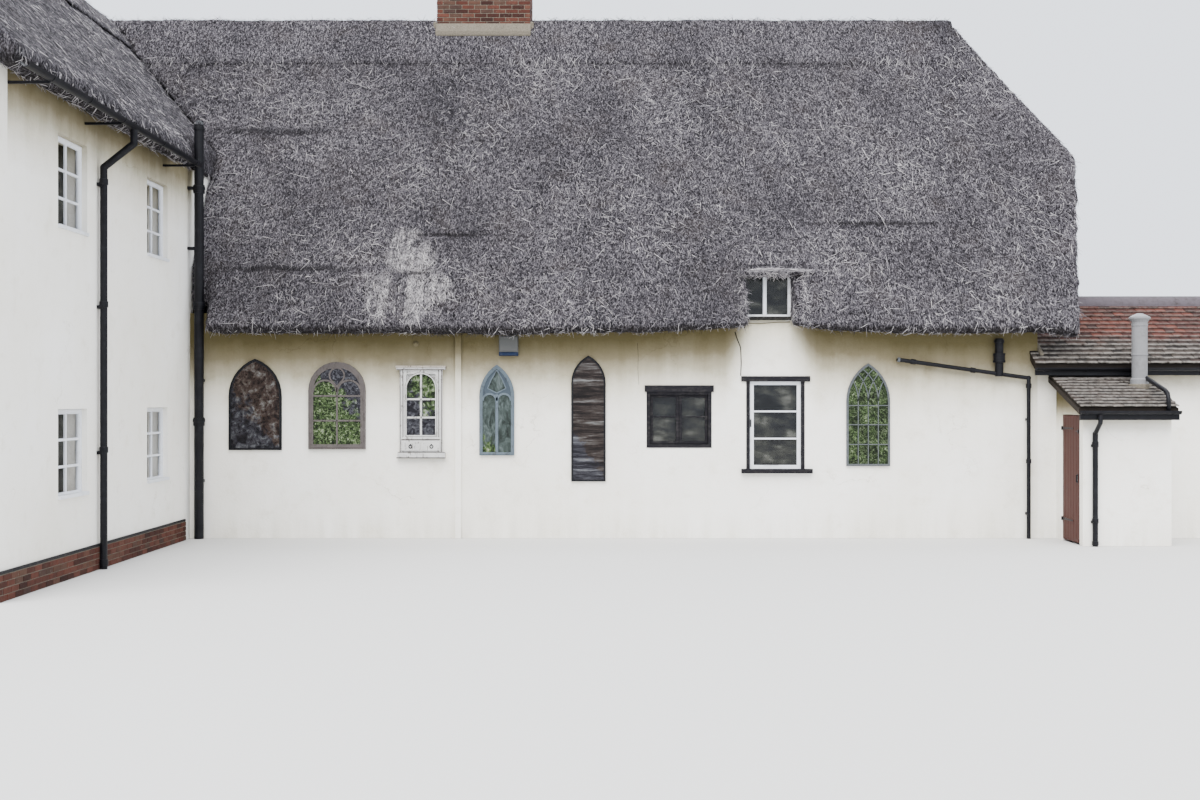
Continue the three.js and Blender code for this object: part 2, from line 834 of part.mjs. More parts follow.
// The hooks on the pier that carry the door: a pin, a boss under it and an arm into the wall
function doorHook(low) {
  const { axisX, axisY, pin, knuckle, knuckleHeight } = door;
  const seatZ = low - seat;
  return joined([
    bar([axisX, axisY, seatZ - 16], [axisX, axisY, seatZ], knuckle, 16),
    bar([axisX, axisY, seatZ - 2], [axisX, axisY, low + knuckleHeight + 12], pin, 16),
    box([axisX - 10, axisY + 4, seatZ - 16], [leanTo.left + 3, axisY + 40, seatZ]),
  ]);
}

add(
  "lean_to_back_pier",
  joined([leanToSide(leanTo.left, doorSideInner, door.farY, leanToBack, 0), ...door.knuckleLows.map(doorHook)]),
  "render",
);
add(
  "lean_to_door_head",
  leanToSide(leanTo.left, doorSideInner, door.nearY + seat, door.farY - seat, door.head), "render",
);
add(
  "lean_to_floor",
  box(
    [doorSideInner + seat, leanToInnerFront + seat, 0],
    [leanTo.right - leanTo.thick - seat, leanToBack, 60],
  ),
  "floor",
);

function leanToRoof() {
  const topZ = leanTo.top - leanTo.slope * seat;
  return alongX(
    [
      [leanTo.eaveY, leanTo.eave], [leanToBack, topZ],
      [leanToBack, topZ - leanTo.plumb], [leanTo.eaveY, leanTo.eave - leanTo.plumb],
    ],
    leanTo.vergeLeft, leanTo.right,
  );
}

add("lean_to_roof", leanToRoof(), "tile");
add(
  "lean_to_gutter",
  gutterWithBoard(
    leanTo.vergeLeft, leanTo.right + 30, leanTo.eaveY, 1910, leanTo.eave - leanTo.plumb - seat, 2050,
  ),
  "blackPaint",
);
// The strap and knuckle that turn on a hook's pin
function doorHinge(low) {
  const { axisX, axisY, pin, knuckle, knuckleHeight } = door;
  const high = low + knuckleHeight;
  const hole = bar([axisX, axisY, low - 5], [axisX, axisY, high + 5], pin + seat, 16);
  const strap = box([leanTo.left - 10, door.leafFar - 520, low + 8], [leanTo.left + 2, door.leafFar, high - 8]);
  return bar([axisX, axisY, low], [axisX, axisY, high], knuckle, 16).add(strap).subtract(hole);
}

function leanToDoor() {
  const leaf = box(
    [leanTo.left, door.leafNear, door.leafBottom],
    [leanTo.left + door.leafThick, door.leafFar, door.leafTop],
  );
  return joined([leaf, ...door.knuckleLows.map(doorHinge)]);
}

add("lean_to_door", leanToDoor(), "doorPaint");

function leanToDownpipe() {
  const x = 7470;
  const radius = 42;
  const neck = 34;
  const wallY = leanTo.front - 52;
  const outletY = leanTo.eaveY - 1 - gutterRadius;
  const clip = (z) => box([x - 53, wallY, z], [x + 53, leanTo.front - seat, z + 40]);
  return joined([
    bar([x, wallY, 0], [x, wallY, 1700], radius),
    ball([x, wallY, 1700], radius),
    bar([x, wallY, 1700], [x, outletY, 1870], neck),
    ball([x, outletY, 1870], neck),
    bar([x, outletY, 1870], [x, outletY, 2050 - gutterRadius - seat], neck),
    clip(350),
    clip(1500),
  ]);
}

add("lean_to_downpipe", leanToDownpipe(), "blackPaint");

function leanToFlue() {
  const baseZ = 2200;
  const roofLine = alongX(
    [
      [flue.y - 800, 0], [flue.y + 800, 0],
      [flue.y + 800, leanTo.eave + leanTo.slope * (flue.y + 800 - leanTo.eaveY) + seat],
      [flue.y - 800, leanTo.eave + leanTo.slope * (flue.y - 800 - leanTo.eaveY) + seat],
    ],
    leanTo.left, leanTo.right + 500,
  );
  const profile = [
    [0, 0], [flue.radius + 22, 0], [flue.radius + 22, 330], [flue.radius, 350],
    [flue.radius, flue.top - baseZ - 60], [flue.capRadius, flue.top - baseZ], [flue.capRadius, flue.top - baseZ + 25],
    [40, flue.capTop - baseZ], [0, flue.capTop - baseZ],
  ];
  return turned(profile, flue.x, flue.y, baseZ).subtract(roofLine);
}

add("lean_to_flue", leanToFlue(), "flueMetal");

// Pipes

function wingGutter() {
  const centreX = wing.right + wing.eaveReach + 60;
  const rimZ = wing.eaveCut;
  const steps = 8;
  const arc = (radius, i) => {
    const angle = Math.PI + (Math.PI * i) / steps;
    return [centreX + radius * Math.cos(angle), rimZ + radius * Math.sin(angle)];
  };
  const outer = Array.from({ length: steps + 1 }, (_, i) => arc(gutterRadius, i));
  const inner = Array.from({ length: steps + 1 }, (_, i) => arc(gutterRadius - gutterWall, steps - i));
  const channel = alongY([...outer, ...inner], hip.wingVerge + 60, wing.notchY);
  const arms = [-7300, -4900, -1600].map((y) =>
    box([wing.right + seat, y, rimZ - 85], [centreX, y + 35, rimZ - gutterRadius + 3]),
  );
  return joined([channel, ...arms]);
}

add("wing_gutter", wingGutter(), "blackPaint");

function wingDownpipe() {
  const radius = 48;
  const y = -4400;
  const x = wing.right + 75;
  const outletX = wing.right + wing.eaveReach + 60;
  const outletZ = wing.eaveCut - gutterRadius - seat;
  const clip = (z) => box([wing.right + seat, y - 60, z], [x, y + 60, z + 45]);
  return joined([
    bar([x, y, 0], [x, y, 5250], radius),
    ball([x, y, 5250], radius),
    bar([x, y, 5250], [outletX, y, 5560], radius),
    ball([outletX, y, 5560], radius),
    bar([outletX, y, 5560], [outletX, y, outletZ], radius),
    clip(1500),
    clip(3400),
    clip(5000),
  ]);
}

add("wing_downpipe", wingDownpipe().subtract(
  box([wing.right, wing.front, 0], [wing.right + seat * 2 + plinth.proud, main.front, plinth.height + seat]),
), "blackPaint");

function ventPipe() {
  const { x, y, radius, top } = ventStack;
  const socket = (z) => bar([x, y, z], [x, y, z + 130], radius + 16, 16);
  const toFront = (z) => box([x - 70, y, z], [x + 70, main.front - seat, z + 45]);
  const toWing = (z) => box([wing.right + seat, y - 60, z], [x, y + 60, z + 45]);
  return joined([
    bar([x, y, 0], [x, y, top], radius, 16),
    socket(1800),
    socket(3650),
    socket(5500),
    toFront(900),
    toFront(2500),
    toWing(4600),
    toWing(5560),
  ]);
}

add("vent_stack", ventPipe(), "blackPaint");

function wastePipes() {
  const { left, leftZ, right, rightZ, radius, y } = wastePipe;
  const bend = radius * 1.2;
  const block = (x, z) => box([x - 30, y, z - 20], [x + 30, main.front - seat, z + 20]);
  const share = (soilPipe.x - left) / (right - left);
  const crossZ = leftZ + share * (rightZ - leftZ);
  return joined([
    bar([left, main.front - seat, leftZ], [left, y, leftZ], radius),
    ball([left, y, leftZ], radius),
    bar([left, y, leftZ], [right, y, rightZ], radius),
    ball([right, y, rightZ], bend),
    bar([right, y, 0], [right, y, rightZ], radius),
    bar([soilPipe.x, soilPipe.y, crossZ - 40], [soilPipe.x, soilPipe.y, soilPipe.top], soilPipe.radius, 16),
    bar([soilPipe.x, soilPipe.y, 2830], [soilPipe.x, soilPipe.y, 2930], soilPipe.collarRadius, 16),
    block(soilPipe.x, 3080),
    block(right, 400),
    block(right, 1900),
  ]);
}

add("waste_pipes", wastePipes(), "blackPaint");
add(
  "wall_pipe",
  box([wallPipe.left, face - wallPipe.depth, 0], [wallPipe.right, face, wallPipe.top]), "palePipe",
);
add(
  "alarm_box",
  box([alarmBox.left, face - alarmBox.depth, alarmBox.bottom], [alarmBox.right, face, alarmBox.top]), "whitePaint",
);

// Mirrors in frames, fixed to the front wall

// An arched outline: a half circle where the rise is half the width, else two arcs that meet in a point
function archOutline(left, right, bottom, spring, apex, steps = 7) {
  const half = (right - left) / 2;
  const centre = (left + right) / 2;
  const rise = apex - spring;
  const radius = (half * half + rise * rise) / (2 * half);
  const sweep = Math.asin(Math.min(1, rise / radius));
  const side = Array.from({ length: steps + 1 }, (_, i) => {
    const angle = (sweep * i) / steps;
    return [half - radius + radius * Math.cos(angle), spring + radius * Math.sin(angle)];
  });
  const rightArc = side.map(([u, z]) => [centre + u, z]);
  const leftArc = side.slice(0, -1).reverse().map(([u, z]) => [centre - u, z]);
  return [[left, bottom], [right, bottom], ...rightArc, ...leftArc];
}

function mirrorFrame({ left, right, bottom, spring, apex, rail, depth }) {
  const whole = alongY(archOutline(left, right, bottom, spring, apex), face - depth, face);
  const pocket = alongY(
    archOutline(left + rail, right - rail, bottom + rail, spring, apex - rail * 1.25),
    face - depth - 10, face - depth * 0.55,
  );
  return whole.subtract(pocket);
}

const mirrors = {
  black_arched_mirror: {
    left: -5936, right: -5088, bottom: 1410, spring: 2270, apex: 2868, rail: 36, depth: 35, finish: "blackPaint",
  },
  round_arched_mirror: {
    left: -4659, right: -3746, bottom: 1423, spring: 2363, apex: 2820, rail: 80, depth: 55, finish: "greyWood",
  },
  blue_arched_mirror: {
    left: -1928, right: -1370, bottom: 1325, spring: 2274, apex: 2773, rail: 52, depth: 50, finish: "blueWood",
  },
  tall_dark_mirror: {
    left: -461, right: 91, bottom: 909, spring: 2478, apex: 2920, rail: 30, depth: 35, finish: "blackPaint",
  },
  lattice_mirror: {
    left: 3938, right: 4635, bottom: 1154, spring: 2194, apex: 2796, rail: 34, depth: 40, finish: "greyMetal",
  },
};

for (const [name, mirror] of Object.entries(mirrors)) {
  add(name, mirrorFrame(mirror), mirror.finish);
}

function cabinetMirror() {
  const body = { left: -3198, right: -2517, bottom: 1287, top: 2757 };
  const drawers = { bottom: 1390, top: 1565 };
  return joined([
    box([body.left, face - 70, body.bottom], [body.right, face, body.top]),
    box([body.left - 47, face - 105, body.top - 66], [body.right + 47, face, body.top]),
    box([body.left - 30, face - 95, body.bottom], [body.right + 47, face, body.bottom + 84]),
    box([body.left + 30, face - 92, drawers.bottom], [body.right - 30, face - 60, drawers.top]),
  ]).subtract(
    alongY(archOutline(-3090, -2624, 1647, 2590, 2628), face - 90, face - 30),
  );
}

add("cabinet_mirror", cabinetMirror(), "paleWood");

export default house;
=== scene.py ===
import math

import bpy
import numpy as np
from mathutils import Euler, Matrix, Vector


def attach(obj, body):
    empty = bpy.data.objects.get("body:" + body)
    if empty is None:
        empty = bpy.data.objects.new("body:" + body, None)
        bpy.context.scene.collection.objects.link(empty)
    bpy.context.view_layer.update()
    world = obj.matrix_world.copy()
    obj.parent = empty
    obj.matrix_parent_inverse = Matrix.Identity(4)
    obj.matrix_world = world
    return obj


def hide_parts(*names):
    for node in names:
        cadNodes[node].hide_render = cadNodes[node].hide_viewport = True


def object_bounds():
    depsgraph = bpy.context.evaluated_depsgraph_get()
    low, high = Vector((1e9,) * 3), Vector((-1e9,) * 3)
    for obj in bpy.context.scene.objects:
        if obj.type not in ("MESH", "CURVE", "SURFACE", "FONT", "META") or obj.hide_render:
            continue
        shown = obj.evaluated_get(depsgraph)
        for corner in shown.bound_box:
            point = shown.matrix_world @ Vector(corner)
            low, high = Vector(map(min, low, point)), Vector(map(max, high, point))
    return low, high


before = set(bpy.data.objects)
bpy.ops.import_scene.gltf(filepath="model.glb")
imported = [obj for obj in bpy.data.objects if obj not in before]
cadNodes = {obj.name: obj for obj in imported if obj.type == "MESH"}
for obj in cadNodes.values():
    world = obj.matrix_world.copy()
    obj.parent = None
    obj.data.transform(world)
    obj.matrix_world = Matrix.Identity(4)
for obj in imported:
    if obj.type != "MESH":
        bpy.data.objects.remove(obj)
cadLow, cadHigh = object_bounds()
print("frame loaded:", len(cadNodes), "nodes")

for leftover in ("Cube", "Light", "Camera"):
    if leftover in bpy.data.objects:
        bpy.data.objects.remove(bpy.data.objects[leftover])


# small helpers for modelling

def pick(*pieces):
    bpy.ops.object.select_all(action="DESELECT")
    for piece in pieces:
        piece.select_set(True)
    bpy.context.view_layer.objects.active = pieces[0]


def startEdit(piece):
    pick(piece)
    bpy.ops.object.mode_set(mode="EDIT")
    bpy.ops.mesh.select_all(action="SELECT")


def endEdit():
    bpy.ops.object.mode_set(mode="OBJECT")


def settle(piece):
    pick(piece)
    bpy.ops.object.transform_apply(location=True, rotation=True, scale=True)


def added(addPrimitive, name, scale=(1, 1, 1), **settings):
    # a new primitive, with its size and place put into its mesh
    bpy.ops.object.select_all(action="DESELECT")
    addPrimitive(**settings)
    piece = bpy.context.object
    piece.name = name
    piece.scale = scale
    settle(piece)
    return piece


def moved(piece, place=(0, 0, 0), turn=(0, 0, 0)):
    piece.location = place
    piece.rotation_euler = turn
    settle(piece)
    return piece


def placed(name, data):
    # a new object that carries a mesh, a curve, a light or a camera
    thing = bpy.data.objects.new(name, data)
    bpy.context.scene.collection.objects.link(thing)
    return thing


def reshaped(piece, change):
    # every corner goes to where change puts it
    for vertex in piece.data.vertices:
        vertex.co = change(*vertex.co)
    return piece


def applyModifier(piece, kind, **settings):
    pick(piece)
    modifier = piece.modifiers.new(kind.lower(), kind)
    for key, value in settings.items():
        setattr(modifier, key, value)
    bpy.ops.object.modifier_apply(modifier=modifier.name)


def softEdges(piece, width=0.004, segments=2):
    applyModifier(piece, "BEVEL", width=width, segments=segments, limit_method="ANGLE")


def squareUp(piece):
    startEdit(piece)
    bpy.ops.mesh.remove_doubles(threshold=0.0001)
    bpy.ops.mesh.normals_make_consistent(inside=False)
    endEdit()


def block(low, high, bevel=0.004, name="block"):
    middle = [(a + b) / 2 for a, b in zip(low, high)]
    size = [b - a for a, b in zip(low, high)]
    piece = added(bpy.ops.mesh.primitive_cube_add, name, size, size=1, location=middle)
    softEdges(piece, bevel)
    return piece


def rod(start, end, radius, sides=16, bevel=0.003, name="rod"):
    start, end = Vector(start), Vector(end)
    way = end - start
    piece = added(
        bpy.ops.mesh.primitive_cylinder_add, name, vertices=sides, radius=radius, depth=way.length,
        location=(start + end) / 2, rotation=way.to_track_quat("Z", "Y").to_euler(),
    )
    softEdges(piece, bevel)
    return piece


def hoop(place, turn, major, minor, majorSegments, minorSegments):
    return added(
        bpy.ops.mesh.primitive_torus_add, "hoop", location=place, rotation=(math.pi / 2, 0, turn),
        major_radius=major, minor_radius=minor, major_segments=majorSegments, minor_segments=minorSegments,
    )


def joinAll(name, parts):
    pick(*parts)
    if len(parts) > 1:
        bpy.ops.object.join()
    parts[0].name = name
    return parts[0]


def dress(piece, finish, slotName, body="house"):
    piece.data.materials.clear()
    piece.data.materials.append(finishes[finish])
    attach(piece, body)
    return piece


def assemble(name, parts, finish, slotName, body="house"):
    return dress(joinAll(name, parts), finish, slotName, body)


def barLattice(name, width, height, columns, rows, bar, depth):
    # a flat grid of bars, standing in the XZ plane round the origin
    piece = added(
        bpy.ops.mesh.primitive_grid_add, name, (width, height, 1), x_subdivisions=columns, y_subdivisions=rows,
        size=1,
    )
    startEdit(piece)
    bpy.ops.mesh.inset(thickness=bar / 2, use_individual=True, use_boundary=True)
    bpy.ops.mesh.delete(type="FACE")
    endEdit()
    applyModifier(piece, "SOLIDIFY", thickness=depth, offset=0)
    softEdges(piece, min(bar, depth) * 0.18, 1)
    return moved(piece, turn=(math.pi / 2, 0, 0))


def arcBar(centre, radius, start, sweep, width, depths, steps=12):
    # a square bar that follows an arc in the wall's plane, round centre (x, z) and between depths (near y, far y)
    (x, z), (near, far) = centre, depths
    piece = added(
        bpy.ops.mesh.primitive_plane_add, "arc", (width, far - near, 1), size=1, rotation=(0, -start, 0),
        location=(x + radius * math.cos(start), (near + far) / 2, z + radius * math.sin(start)),
    )
    startEdit(piece)
    bpy.ops.mesh.spin(steps=steps, angle=sweep, center=(x, 0, z), axis=(0, 1, 0))
    bpy.ops.mesh.select_all(action="SELECT")
    bpy.ops.mesh.remove_doubles(threshold=0.0001)
    bpy.ops.mesh.select_all(action="DESELECT")
    bpy.ops.mesh.select_non_manifold()
    bpy.ops.mesh.edge_face_add()
    endEdit()
    squareUp(piece)
    return piece


def archRadius(half, rise):
    radius = (half * half + rise * rise) / (2 * half)
    return radius, math.asin(min(1.0, rise / radius))


def archOutline(left, right, bottom, spring, apex, steps=12):
    half, centre = (right - left) / 2, (left + right) / 2
    radius, sweep = archRadius(half, apex - spring)
    side = []
    for i in range(steps + 1):
        angle = sweep * i / steps
        side.append((half - radius + radius * math.cos(angle), spring + radius * math.sin(angle)))
    points = [(left, bottom), (right, bottom)]
    points += [(centre + u, z) for u, z in side]
    points += [(centre - u, z) for u, z in reversed(side[:-1])]
    return points


def plate(name, outline, depths):
    # a flat sheet with its outline in the wall's plane
    near, far = depths
    piece = added(bpy.ops.mesh.primitive_circle_add, name, vertices=len(outline), fill_type="NGON")
    for vertex, (x, z) in zip(piece.data.vertices, outline):
        vertex.co = (x, far, z)
    startEdit(piece)
    bpy.ops.mesh.extrude_region_move(TRANSFORM_OT_translate={"value": (0, near - far, 0)})
    endEdit()
    squareUp(piece)
    return piece


def strewCopies(name, pattern, turns, places, shades):
    # one mesh of many copies of a small pattern, each with its own turn, place and shade
    corners = np.array([tuple(vertex.co) for vertex in pattern.data.vertices])
    faces = [tuple(face.vertices) for face in pattern.data.polygons]
    spread = np.einsum("nij,vj->nvi", np.asarray(turns), corners) + np.asarray(places)[:, None, :]
    step = len(corners)
    allFaces = [
        tuple(index + copy * step for index in face) for copy in range(len(places)) for face in faces
    ]
    mesh = bpy.data.meshes.new(name)
    mesh.from_pydata(spread.reshape(-1, 3).tolist(), [], allFaces)
    # tail is 1 at the pattern's near end along Y, and 0 at its far end
    along = corners[:, 1]
    tail = (along.max() - along) / (along.max() - along.min())
    for label, values in (("shade", np.repeat(shades, step)), ("tail", np.tile(tail, len(places)))):
        attribute = mesh.attributes.new(label, "FLOAT", "POINT")
        attribute.data.foreach_set("value", values.astype(np.float32))
    mesh.update()
    return placed(name, mesh)


# small helpers for finishes; all of them work on the finish at hand

making = {}  # its material, node tree and shader
dimmed = 0.34  # most colours are listed as sRGB codes, and dimmed to suit the strong studio light
strawTone = 0.43  # the same for straw, which stays a little brighter


def tone(code, strength=dimmed):
    parts = [((code >> shift) & 255) / 255 for shift in (16, 8, 0)]
    linear = [strength * (p / 12.92 if p <= 0.04045 else ((p + 0.055) / 1.055) ** 2.4) for p in parts]
    return (*linear, 1.0)


def feed(socket, source):
    # a source is what another node gives, a number or a tuple
    if isinstance(source, bpy.types.NodeSocket):
        making["tree"].links.new(source, socket)
    else:
        socket.default_value = source


def addNode(kind, sources=(), **settings):
    node = making["tree"].nodes.new("ShaderNode" + kind)
    for key, value in settings.items():
        setattr(node, key, value)
    for socket, source in dict(sources).items():
        feed(node.inputs[socket], source)
    return node.outputs


def newFinish(name, roughness, metallic=0.0, shine=0.15):
    # gives back the place on the piece, which the patterns are laid out by
    material = bpy.data.materials.new(name)
    material.use_nodes = True
    shader = material.node_tree.nodes["Principled BSDF"]
    shader.inputs["Specular IOR Level"].default_value = shine
    shader.inputs["Roughness"].default_value = roughness
    shader.inputs["Metallic"].default_value = metallic
    making.update(material=material, tree=material.node_tree, shader=shader)
    return addNode("TexCoord")["Object"]


def coated(color, height=None, strength=0.5, distance=0.004):
    # colours the finish, roughens it by the height, and gives it back
    feed(making["shader"].inputs["Base Color"], color)
    if height is not None:
        bump = addNode("Bump", {"Strength": strength, "Distance": distance, "Height": height})
        feed(making["shader"].inputs["Normal"], bump["Normal"])
    return making["material"]


def mapped(vector, scale=(1, 1, 1), place=(0, 0, 0), turn=(0, 0, 0)):
    return addNode("Mapping", {"Vector": vector, "Scale": scale, "Location": place, "Rotation": turn})["Vector"]


def clouds(vector, scale=1.0, detail=3.0, roughness=0.55, distortion=0.0, give="Fac"):
    return addNode("TexNoise", {
        "Vector": vector, "Scale": scale, "Detail": detail, "Roughness": roughness, "Distortion": distortion,
    })[give]


def shadesOf(value, stops, strength=dimmed):
    # a stop is (place, color code), (place, grey) or (place, (red, green, blue))
    outputs = addNode("ValToRGB", {"Fac": value})
    ramp = outputs["Color"].node.color_ramp
    while len(ramp.elements) < len(stops):
        ramp.elements.new(0.5)
    for element, (at, color) in zip(ramp.elements, stops):
        element.position = at
        if isinstance(color, int):
            element.color = tone(color, strength)
        else:
            element.color = (*color, 1) if isinstance(color, tuple) else (color, color, color, 1)
    return outputs["Color"]


def mixed(amount, first, second, kind="MIX"):
    return addNode("Mix", {0: amount, 6: first, 7: second}, data_type="RGBA", blend_type=kind)[2]


def worked(operation, first, second=0.0, clamp=False):
    return addNode("Math", {0: first, 1: second}, operation=operation, use_clamp=clamp)[0]


def times(value, *others):
    for other in others:
        value = worked("MULTIPLY", value, other)
    return value


def plus(value, *others):
    for other in others:
        value = worked("ADD", value, other)
    return value


def minus(first, second):
    return worked("SUBTRACT", first, second)


def ramped(value, low, high, start=0.0, end=1.0):
    return addNode("MapRange", {
        "Value": value, "From Min": low, "From Max": high, "To Min": start, "To Max": end,
    })["Result"]


def axis(vector, name):
    return addNode("SeparateXYZ", {0: vector})[name]


def facing(name):
    return axis(addNode("NewGeometry")["Normal"], name)


def sideways(low, high):
    # how far a face looks to the left or the right
    return ramped(worked("ABSOLUTE", facing("X")), low, high)


def ownValue(name):
    return addNode("Attribute", attribute_name=name)["Fac"]


def stained(color, stain, value, low, high, strength, kind="MIX"):
    # the stain comes in as the value runs from low to high
    return mixed(times(ramped(value, low, high), strength), color, stain, kind)


def blotch(vector, centre, reach, ragged, grain):
    # 1 in the middle of a ragged patch, 0 outside it
    spot = mapped(vector, tuple(1 / r for r in reach), tuple(-c / r for c, r in zip(centre, reach)))
    shake = clouds(vector, grain, 4.0, 0.5, give="Color")
    around = addNode("VectorMath", {0: shake, 1: (ragged * 2,) * 3, 2: (-ragged,) * 3}, operation="MULTIPLY_ADD")
    total = addNode("VectorMath", {0: spot, 1: around[0]}, operation="ADD")
    return addNode("TexGradient", {0: total[0]}, gradient_type="SPHERICAL")["Fac"]


# finishes

# multipliers for the wall's colour under the eave: soot and painted shade, darkest at 0.9
eaveSootAndShade = [
    (0.0, 1.0), (0.2, (0.88, 0.87, 0.84)), (0.38, (0.7, 0.68, 0.61)), (0.54, (0.4, 0.375, 0.295)),
    (0.7, (0.2, 0.175, 0.115)), (0.9, (0.11, 0.093, 0.045)),
]


def limewash(name, eave, reach, gap=None, deeper=(), rise=0.0):
    # eave is the height where the thatch meets the wall, and rise lifts it past y = 0; reach is how far the soot and
    # painted shade of the eave come down; gap is where no thatch hangs over it, as (left, right); deeper adds more
    # painted shade, as (from, to, amount)
    spot = newFinish(name, 0.92)
    across, back, height = axis(spot, "X"), axis(spot, "Y"), axis(spot, "Z")
    color = shadesOf(clouds(spot, 0.55, 4), [(0.3, 0xEFEBE0), (0.5, 0xF5F2EA), (0.72, 0xF9F7F2)], 1.0)
    streak = clouds(mapped(spot, (5.0, 5.0, 0.5)), 1.0, 4)
    grime = clouds(spot, 3.2, 6, 0.65)
    # soot and drips from the thatch, with painted shade of its overhang, darkest right under it
    wander = times(minus(plus(streak, grime), 1.0), 0.14)
    lifted = times(ramped(back, -0.1, 0.3), rise)
    depth = plus(ramped(minus(height, lifted), eave - reach, eave), wander)
    front = ramped(back, 2.0, 1.0)
    # more painted shade under parts of the front eave
    for start, end, amount in deeper:
        depth = plus(depth, times(ramped(across, start, end), front, amount))
    if gap is not None:
        left, right = gap
        # painted light: the painted eave shade is taken off the wall under the dormer, where no thatch hangs over it
        lit = times(ramped(across, left - 0.3, left + 0.14), ramped(across, right + 0.34, right - 0.14), front)
        depth = worked("SUBTRACT", depth, times(lit, 0.54), True)
        depth = times(depth, sideways(0.7, 0.5))  # no painted eave shade on the wall's ends, which stand clear of the eave
    # the soot and painted eave shade darken the wall
    color = mixed(1.0, color, shadesOf(depth, eaveSootAndShade), "MULTIPLY")
    damp = times(ramped(height, 0.5, 0.0), ramped(streak, 0.3, 0.7), 0.4)
    color = mixed(damp, color, tone(0xB9B5A2, 1.0))
    color = stained(color, tone(0xC9BFA6, 1.0), grime, 0.56, 0.75, 0.22, "MULTIPLY")
    # a few hairline cracks
    bent = addNode("VectorMath", {0: spot, 1: clouds(spot, 2.5, 6, 0.5, give="Color")}, operation="ADD")[0]
    cell = addNode("TexVoronoi", {"Vector": bent, "Scale": 0.55}, feature="DISTANCE_TO_EDGE")["Distance"]
    crack = times(ramped(cell, 0.005, 0.0), ramped(clouds(spot, 0.8, 2), 0.52, 0.64), 0.45)
    color = mixed(crack, color, tone(0xA9A08C, 1.0), "MULTIPLY")
    fine = plus(clouds(spot, 28, 5), times(clouds(spot, 2.2, 3), 3.0))
    return coated(color, minus(fine, crack), 0.5, 0.01)


def strawFlecks(spot, across, along, spin):
    # pale strands that run down a slope; side slopes are read the other way round
    front = clouds(mapped(spot, (across, along, along), turn=(0, spin, 0)), 1.0, 4, 0.6, 0.3)
    side = clouds(mapped(spot, (along, across, along), turn=(spin, 0, 0)), 1.0, 4, 0.6, 0.3)
    onSide = sideways(0.45, 0.6)
    return plus(times(front, minus(1.0, onSide)), times(side, onSide))


weather = {
    # how often the flecks come across and along a slope, their turn, and their share
    "flecks": [(32, 13, 0.4, 0.26), (72, 32, -0.5, 0.4), (50, 26, 1.1, 0.34)],
    # bleached clumps by the left windows, as (x, z, half width, half height, strength)
    "bleached": [
        (-3.2, 4.84, 0.22, 0.15, 0.85), (-3.14, 4.45, 0.24, 0.2, 0.9), (-2.83, 4.45, 0.13, 0.24, 0.95),
        (-2.76, 4.0, 0.34, 0.23, 1.0), (-2.92, 3.62, 0.28, 0.2, 0.65), (-3.5, 3.8, 0.18, 0.38, 0.6),
    ],
    # painted shade in the creases where a newer layer ends, as (x, z, half length, half height)
    "shadedCreases": [
        (-4.95, 4.32, 1.2, 0.05), (-5.6, 6.8, 1.25, 0.07), (-2.5, 4.9, 0.8, 0.035), (4.6, 5.1, 1.4, 0.04),
        (2.78, 4.345, 0.62, 0.032), (-2.95, 4.235, 0.4, 0.026),
    ],
}


def weatheredThatch(name):
    spot = newFinish(name, 1.0)
    strands = plus(*[times(strawFlecks(spot, *grain), share) for *grain, share in weather["flecks"]])
    color = shadesOf(strands, [
        (0.405, 0x18171A), (0.46, 0x403D42), (0.503, 0x787379), (0.545, 0xB4AFB5), (0.6, 0xF6F0F4),
    ], strawTone)
    broad = clouds(mapped(spot, (1.0, 0.45, 0.45)), 0.9, 6, 0.62)
    color = mixed(1.0, color, shadesOf(broad, [
        (0.3, (0.45, 0.45, 0.47)), (0.5, (0.78, 0.77, 0.79)), (0.7, (1.0, 0.99, 1.0)),
    ]), "MULTIPLY")
    color = stained(color, tone(0x6A5F58, strawTone), clouds(spot, 1.7, 4), 0.52, 0.75, 0.3)
    streaks = ramped(clouds(mapped(spot, (9.0, 0.9, 0.9)), 1.0, 5, 0.7), 0.36, 0.56)
    for x, z, halfWidth, halfHeight, strength in weather["bleached"]:
        clump = ramped(blotch(spot, (x, 0, z), (halfWidth * 1.5, 2.5, halfHeight * 1.5), 0.6, 2.5), 0.0, 0.5)
        bright = times(clump, streaks, ramped(strands, 0.43, 0.53), 0.75 * strength)
        color = mixed(bright, color, tone(0xF4EEEF, 0.6))
    dark = blotch(spot, (-5.4, -0.3, 4.0), (1.5, 2.5, 1.0), 0.3, 1.2)
    color = stained(color, tone(0x2B282D, strawTone), dark, 0.0, 0.6, 0.15)
    # painted shade in each crease of the thatch
    for x, z, halfLength, halfHeight in weather["shadedCreases"]:
        creaseShade = blotch(spot, (x, 0.4, z), (halfLength, 2.0, halfHeight * 1.4), 0.4, 3.0)
        color = stained(color, tone(0x181516, strawTone), creaseShade, 0.0, 0.7, 0.75)
    # painted shade on the faces that look down, as under the eaves
    color = stained(color, tone(0x262122, strawTone), facing("Z"), 0.0, -0.6, 0.7)
    return coated(color, strands, 1.0, 0.15)


def looseStraw(name):
    spot = newFinish(name, 0.85)
    color = shadesOf(ownValue("shade"), [
        (0.0, 0x232125), (0.4, 0x5B585E), (0.65, 0x9A959B), (0.85, 0xDDD7DC), (0.93, 0xF7F1F4),
        (1.0, tone(0xFBF6F4, 0.95)[:3]),
    ], strawTone)
    return coated(mixed(times(clouds(spot, 9, 3), 0.3), color, tone(0x575257, strawTone)))


def wornPaint(name, base, dirt, roughness=0.45, amount=0.35, grain=(3.0, 3.0, 30.0), strength=dimmed):
    spot = newFinish(name, roughness)
    streak = clouds(mapped(spot, grain), 1.0, 5, 0.6)
    spots = clouds(spot, 14, 5, 0.7)
    mask = times(ramped(streak, 0.42, 0.72), ramped(spots, 0.4, 0.68), amount * 2)
    color = mixed(mask, tone(base, strength), tone(dirt, strength))
    return coated(color, plus(streak, times(spots, 0.5)), 0.35)


